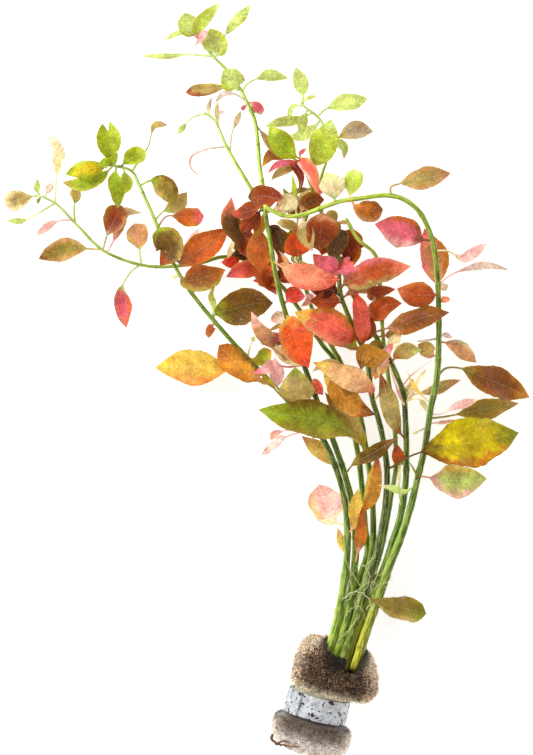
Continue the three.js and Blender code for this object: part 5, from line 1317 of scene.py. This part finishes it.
def plug_reach(tree, place, axis):
    """How far a place lies from the middle of the plug along one of the plug's own three axes."""
    links = {0: vector("SUBTRACT", place, tuple(PLUG_CENTRE * MM)), 1: tuple(PLUG_TURN[:, axis])}
    return Value(node(tree, "ShaderNodeVectorMath", links, operation="DOT_PRODUCT").outputs["Value"])


def random_vector(tree, low, high, seed):
    """A random vector for each instance."""
    links = {0: low, 1: high, "Seed": seed}
    return node(tree, "FunctionNodeRandomValue", links, data_type="FLOAT_VECTOR").outputs[0]


def foam_tree():
    """Roughens the foam's skin and sets shreds on it."""
    tree, given, target = new_tree("Torn foam", [
        ("Lumps", "Float", 1.4), ("Crumbs", "Float", 1.0), ("Pores", "Float", 0.5),
        ("Depth", "Float", 2.2 * MM), ("Shreds", "Float", 4600000.0), ("Shred width", "Float", 0.19 * MM),
        ("Shred length", "Float", 1.4 * MM), ("Material", "Material", None),
    ])
    place = position(tree)
    total = 0.0
    for label, cells in (("Lumps", 110), ("Crumbs", 420), ("Pores", 1150)):
        links = {"Vector": place, "Scale": cells, "Detail": 2.0, "Roughness": 0.6}
        height = Value(node(tree, "ShaderNodeTexNoise", links).outputs[0]) - 0.52
        total = height * given[label] + total
    from_waist = abs(plug_reach(tree, place, 1))
    links = {"Value": from_waist, "From Min": WAIST_CALM[0], "From Max": WAIST_CALM[1], "To Min": 0.25}
    calm = Value(node(tree, "ShaderNodeMapRange", links).outputs[0])
    outward = node(tree, "GeometryNodeInputNormal").outputs[0]
    shift = vector("SCALE", outward, scale=total * calm * given["Depth"])
    moved = node(tree, "GeometryNodeSetPosition", {"Geometry": given["Geometry"], "Offset": shift}).outputs[0]
    smooth = node(tree, "GeometryNodeSetShadeSmooth", {"Geometry": moved}).outputs[0]

    # Loose shreds stand out of the skin everywhere but under the strip.
    spots = node(tree, "GeometryNodeDistributePointsOnFaces", {
        "Mesh": smooth, "Selection": maths("GREATER_THAN", from_waist, SHREDS_FROM),
        "Density": given["Shreds"], "Seed": 7,
    }).outputs
    shred = node(tree, "GeometryNodeMeshCone", {
        "Vertices": 3, "Radius Top": 0.0, "Radius Bottom": given["Shred width"],
        "Depth": given["Shred length"],
    }).outputs["Mesh"]
    lean = random_vector(tree, (-0.9, -0.9, 0.0), (0.9, 0.9, 6.28), 3)
    tilt = node(tree, "FunctionNodeEulerToRotation", {"Euler": lean}).outputs[0]
    links = {"Rotation": spots["Rotation"], "Rotate By": tilt}
    stand = node(tree, "FunctionNodeRotateRotation", links, rotation_space="LOCAL").outputs[0]
    shreds = node(tree, "GeometryNodeInstanceOnPoints", {
        "Points": spots["Points"], "Instance": shred, "Rotation": stand,
        "Scale": random_vector(tree, (0.6, 0.6, 0.35), (1.2, 1.2, 1.0), 5),
    }).outputs["Instances"]
    chance = node(tree, "FunctionNodeRandomValue", {2: 0.05, 3: 1.0, "Seed": 9}, data_type="FLOAT").outputs[1]
    links = {"Geometry": shreds, "Name": "shred", "Value": chance}
    shaded = node(tree, "GeometryNodeStoreNamedAttribute", links, data_type="FLOAT", domain="INSTANCE")
    both = node(tree, "GeometryNodeJoinGeometry")
    tree.links.new(shaded.outputs["Geometry"], both.inputs["Geometry"])
    tree.links.new(smooth, both.inputs["Geometry"])
    real = node(tree, "GeometryNodeRealizeInstances", {"Geometry": both.outputs["Geometry"]}).outputs[0]
    above_table = vector("MAXIMUM", position(tree), (-1.0, -1.0, 0.0))
    held = node(tree, "GeometryNodeSetPosition", {"Geometry": real, "Position": above_table}).outputs[0]
    finish_tree(tree, given, target, held)
    return tree


def foam_material():
    """Brown foam: tan where torn, near black in its pores, painted almost black as wet and shaded among the
    stems.
    """
    settings = {"Roughness": 0.95, "Specular IOR Level": 0.15, "Sheen Weight": 0.2}
    material, tree, shader = new_material("Brown foam", settings)
    patches = grain(tree, 260, 5.0, 0.65)
    crumbs = grain(tree, 1150, 3.0, 0.7)
    shred = read(tree, "shred")
    is_shred = ramp(shred, 0.0, 0.04)
    place = node(tree, "ShaderNodeTexCoord").outputs["Object"]
    across, axis, up = (plug_reach(tree, place, k) for k in range(3))
    lower_lobe = ramp(axis, 0.0, -0.004)
    rough_height = up + patches * 0.012
    colour = mix(tree, ramp(patches, 0.42, 0.6), (0.1, 0.045, 0.024), (0.4, 0.25, 0.145))
    colour = mix(tree, ramp(crumbs, 0.52, 0.66) * 0.85, colour, (0.62, 0.47, 0.31))
    colour = mix(tree, ramp(crumbs, 0.45, 0.34) * 0.8, colour, (0.035, 0.018, 0.01))
    shred_colour = mix(tree, ramp(shred, 0.35, 1.0), (0.05, 0.024, 0.012), (0.98, 0.78, 0.56))
    colour = mix(tree, is_shred * 0.75, colour, shred_colour)

    # The foam is darker on top, and paler at its sides and its foot.
    colour = overlay(tree, colour, [(rough_height, 0.0135, 0.0195, 0.88, (0.26, 0.19, 0.14))])
    low_paling = ramp(rough_height, 0.0165, 0.0085) * 0.8
    colour = mix(tree, low_paling, colour, (0.76, 0.65, 0.52))
    colour = mix(tree, lower_lobe * 0.35, colour, (0.5, 0.45, 0.4))
    colour = mix(tree, ramp(axis + patches * 0.006, -0.006, -0.0125) * 0.8, colour, (0.97, 0.92, 0.87))
    colour = mix(tree, low_paling * lower_lobe * 0.95, colour, (0.96, 0.91, 0.86))

    # It is pale above the strip and has a painted shadow below it. Its mouth is painted almost black,
    # for wet foam in the shade of the stems.
    near_band = ramp(abs(axis) + patches * 0.006, 0.0135, 0.0085)
    colour = mix(tree, near_band * ramp(axis, 0.0, 0.002) * 0.85, colour, (0.84, 0.76, 0.56))
    # Painted shadow: the lower lobe is darkened next to the strip, where the strip shades it.
    colour = mix(tree, near_band * lower_lobe * 0.8, colour, (0.05, 0.032, 0.022))
    sideways = (across - 0.0046) / 0.0092
    upwards = (up - 0.003) / 0.0125
    # Painted shade and wetness: the mouth among the stems is turned almost black.
    wet_and_shaded_mouth = ramp(sideways * sideways + upwards * upwards, 1.6, 0.9) * ramp(axis, 0.012, 0.02)
    colour = mix(tree, wet_and_shaded_mouth * 0.93, colour, (0.012, 0.009, 0.005))
    salt = mix(tree, ramp(shred, 0.1, 0.95), (0.27, 0.25, 0.23), (2.3, 2.2, 2.05))
    colour = mix(tree, is_shred * (0.8 - lower_lobe * 0.3), colour, salt, "MULTIPLY")
    finish_material(tree, shader, colour, crumbs, 0.0006)
    return material


rough = run_tree(foam_tree(), foam.data, "foam_plug_torn", {"Material": foam_material()})
bpy.data.objects.remove(foam)
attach(rough, "root")
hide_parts("foam_plug")
print("torn foam", len(rough.data.polygons), "faces")


# %% [markdown]
# The weight is one strip of soft grey metal, wound round the waist by hand, its end lapped over its start.
# It is pitted and a little dented. A rounded bar section is swept along the spiral: its radius grows by
# one thickness just before the lap.

# %% Strip weight
BAND_RADIUS = 11.75  # to the middle of the strip
BAND_THICK = 0.96
BAND_HEIGHT = 9.6
LAP_START = 172
LAP_END = 234
LAP_GAP = 0.14  # the lapped end lies this far off the turn below it
EDGE = 0.28
RING_TURN = 1.5  # degrees from one ring to the next


def band_section():
    """The strip's section: a rounded bar, with more points along its two faces."""
    corners = []
    for side, end, first in ((1, 1, 0), (-1, 1, 90), (-1, -1, 180), (1, -1, 270)):
        for turn in (0, 30, 60, 90):
            angle = math.radians(first + turn)
            corners.append((side * (BAND_THICK / 2 - EDGE) + EDGE * math.cos(angle),
                            end * (BAND_HEIGHT / 2 - EDGE) + EDGE * math.sin(angle)))
    section = []
    for (a, b), (c, d) in zip(corners, corners[1:] + corners[:1]):
        steps = 18 if abs(d - b) > 2 else 1
        section += [(a + (c - a) * k / steps, b + (d - b) * k / steps) for k in range(steps)]
    return section


def band_places(section):
    """Rings of the section along the spiral, in plug coordinates."""
    places = []
    for turn in np.arange(LAP_START, LAP_END + 360 + 0.1, RING_TURN):
        rise = smoothstep(turn, LAP_START + 330, LAP_START + 358) * (BAND_THICK + LAP_GAP)
        from_end = min(turn - LAP_START, LAP_END + 360 - turn)
        thin = math.sqrt(min(1, 0.25 + from_end / 3))
        x, y = math.cos(math.radians(turn)), math.sin(math.radians(turn))
        for out, along in section:
            lump = noise.noise(Vector((x * 3.1, y * 3.1, along * 0.33 + turn * 0.004)))
            pit = noise.noise(Vector((x * 11, y * 11, along * 1.1 + turn * 0.004)))
            dent = 0.14 * lump - 0.16 * max(0, pit - 0.25) * 3 if out > 0 else 0
            radius = BAND_RADIUS + rise + out * thin + dent
            places.append((radius * x, along + 0.22 * lump * abs(along) / (BAND_HEIGHT / 2), -radius * y))
    return places


def band_material():
    """Dull grey metal with pale oxide, dark pits and fine scratches."""
    material, tree, shader = new_material("Dull soft metal", {"Metallic": 0.55})
    patches = grain(tree, 330, 5.0, 0.7)
    fine = grain(tree, 2100, 4.0, 0.7)
    colour = mix(tree, ramp(patches, 0.36, 0.64), (0.46, 0.48, 0.5), (0.8, 0.81, 0.83))
    colour = mix(tree, ramp(fine, 0.54, 0.7) * 0.5, colour, (0.85, 0.86, 0.88))
    colour = mix(tree, ramp(grain(tree, 560, 2.0, 0.55), 0.585, 0.61), colour, (0.03, 0.028, 0.026))
    tree.links.new(ramp(patches, -0.4, 1.3).socket, shader.inputs["Roughness"])
    finish_material(tree, shader, colour, fine + patches, 0.00035)
    return material


section = band_section()
places = band_places(section)
band_faces = tube_faces(len(places) // len(section), len(section))
band = mesh_object("weight_band_strip", plug_place(places), band_faces)
for face in band.data.polygons:
    face.use_smooth = True
band.data.materials.append(band_material())
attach(band, "root")
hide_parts("weight_band")
print("strip", len(band.data.polygons), "faces")


# %% [markdown]
# Fine pale roots have begun to grow from the lower stems, and one brown root curls out of the foot of the
# plug. They are too thin for the solids. Each one is a short path swept by the stem tree with a small ring.

# %% Roots
ROOTS = [
    (0.22, 0.1, [(29, -90, 20), (31.5, -88, 21.5), (34, -86, 22), (36, -85.6, 22.5), (39, -86.6, 23),
        (41, -89, 23), (42.5, -93, 22)]),
    (0.2, 0.1, [(28, -107, 19), (30, -104, 20.5), (33, -101, 21), (35.5, -97.5, 21.5), (37.5, -95, 21)]),
    (0.2, 0.08, [(36, -76, 17), (37.5, -75.2, 19), (39, -75.3, 21), (41.5, -73.6, 22), (44, -71, 22)]),
    (0.18, 0.08, [(34.5, -78, 18), (33.4, -80, 19), (33.5, -82, 20), (34, -84.5, 20)]),
    (0.2, 0.08, [(43.5, -79, 20), (44.6, -76, 22), (46.5, -72.5, 22.5)]),
    (0.16, 0.06, [(31.5, -96, 19), (33.4, -93, 21), (36.5, -91.4, 22), (38.6, -93.5, 22),
        (39.4, -97, 21.5)]),
    (0.16, 0.06, [(38, -84, 18), (36, -81, 20.5), (33.2, -76.5, 21.5), (31, -71, 21)]),
    (0.16, 0.06, [(42, -86, 20), (45, -83, 22), (48.8, -81.6, 22.5), (51.2, -79, 22)]),
    (0.15, 0.06, [(35, -92, 20), (37, -88, 21.6), (40.6, -83, 22.4), (41, -78, 22.4), (38.4, -74.6, 22)]),
    (0.15, 0.06, [(40, -93, 20), (42.4, -88.4, 22), (41.6, -84, 22.6), (44.4, -79.6, 22.6),
        (47.6, -78.4, 22)]),
    (0.14, 0.06, [(32, -90, 20), (34.8, -86.6, 21.6), (38, -83.8, 22), (42, -81.6, 22.6), (45.6, -84, 22)]),
    (0.14, 0.06, [(46, -88, 20), (47, -84, 22), (50.2, -82.6, 22.4), (49.4, -77.4, 22)]),
]
BROWN_ROOTS = [
    (0.3, 0.6, [(13, -147.4, 24.6), (9.6, -147.4, 23.6), (6.4, -147.1, 21.4), (3.6, -146.4, 19),
        (2.2, -144.6, 18.6), (2.2, -142.4, 19.4)]),
    (0.2, 0.3, [(9.4, -145.8, 25), (6.8, -145.5, 23), (4.6, -146, 20.4), (3.2, -146.1, 18.8)]),
]
ROOT_STATIONS = 40
ROOT_WIGGLE = 0.22


def root_material(name, colour, tip):
    """A thin root, paler in places."""
    material, tree, shader = new_material(name, {"Roughness": 0.5})
    tree.links.new(mix(tree, ramp(grain(tree, 500), 0.35, 0.65), colour, tip), shader.inputs["Base Color"])
    return material


def grow_roots(name, rows, material):
    """One piece with a swept, slightly crooked rod for each row."""
    chains = []
    for seed, (start, end, points) in enumerate(rows):
        path = smooth_path(points, ROOT_STATIONS)
        inner = np.arange(1, len(path) - 1)
        sway = np.column_stack((np.sin(inner * 0.9 + seed), np.cos(inner * 1.1 + seed)))
        path[1:-1, :2] += ROOT_WIGGLE * sway
        chains.append(rod_stations(path, start, end, seed))
    made = run_tree(STEM_TREE, chains_mesh(name, chains), name, {"Ring points": 8, "Material": material})
    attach(made, "root")
    print(name, len(made.data.polygons), "faces")


pale = root_material("Pale root", (0.84, 0.82, 0.5), (0.66, 0.66, 0.28))
brown = root_material("Brown root", (0.07, 0.04, 0.02), (0.32, 0.15, 0.06))
grow_roots("pale_roots", ROOTS, pale)
grow_roots("brown_root", BROWN_ROOTS, brown)


# %% [markdown]
# The scene is high-key: a white floor, a white world and broad soft lights, with the strongest one at the
# upper left so that the stems get a bright and a shaded side. The bunch lies down, so the camera looks
# straight down from far away with a long lens, which keeps the perspective as flat as in the photograph.

# %% Floor, light and camera
floor_mesh = bpy.data.meshes.new("floor")
floor_mesh.from_pydata([(-3, -3, 0), (3, -3, 0), (3, 3, 0), (-3, 3, 0)], [], [(0, 1, 2, 3)])
floor = add_object("floor", floor_mesh)
floor_mesh.materials.append(new_material("White table", {
    "Roughness": 0.7, "Base Color": (0.9, 0.9, 0.9, 1), "Emission Color": (1, 1, 1, 1),
    "Emission Strength": 0.52, "Specular IOR Level": 0.1,
})[0])

world = bpy.data.worlds.new("White studio")
bpy.context.scene.world = world
world.use_nodes = True
world.node_tree.nodes["Background"].inputs["Color"].default_value = (1, 1, 1, 1)
world.node_tree.nodes["Background"].inputs["Strength"].default_value = 0.6

for name, place, size, power in (
    ("key", (-0.6, 0.42, 0.7), 0.45, 6.1),
    ("fill", (0.6, -0.1, 0.9), 0.9, 0.9),
    ("rim", (0.1, 0.9, 0.5), 0.5, 1.2),
):
    light = bpy.data.lights.new(name, "AREA")
    light.size = size
    light.energy = power
    lamp = add_object(name, light)
    lamp.location = place
    lamp.rotation_euler = (-Vector(place)).to_track_quat("-Z", "Y").to_euler()

CAMERA_DISTANCE = 3.0
LEAF_HEIGHT = 0.022  # the camera's distance counts from here, about the middle of the bunch's depth
VIEW_HEIGHT = 0.302  # how much of the bunch's length the picture takes in
camera_data = bpy.data.cameras.new("camera")
camera_data.sensor_width = 36
camera_data.lens = camera_data.sensor_width * CAMERA_DISTANCE / VIEW_HEIGHT
camera_data.clip_end = 20
camera = add_object("camera", camera_data)
camera.location = (-MIDDLE[0] * MM, -MIDDLE[1] * MM, CAMERA_DISTANCE + LEAF_HEIGHT)
bpy.context.scene.camera = camera
bpy.context.scene.view_settings.view_transform = "Standard"
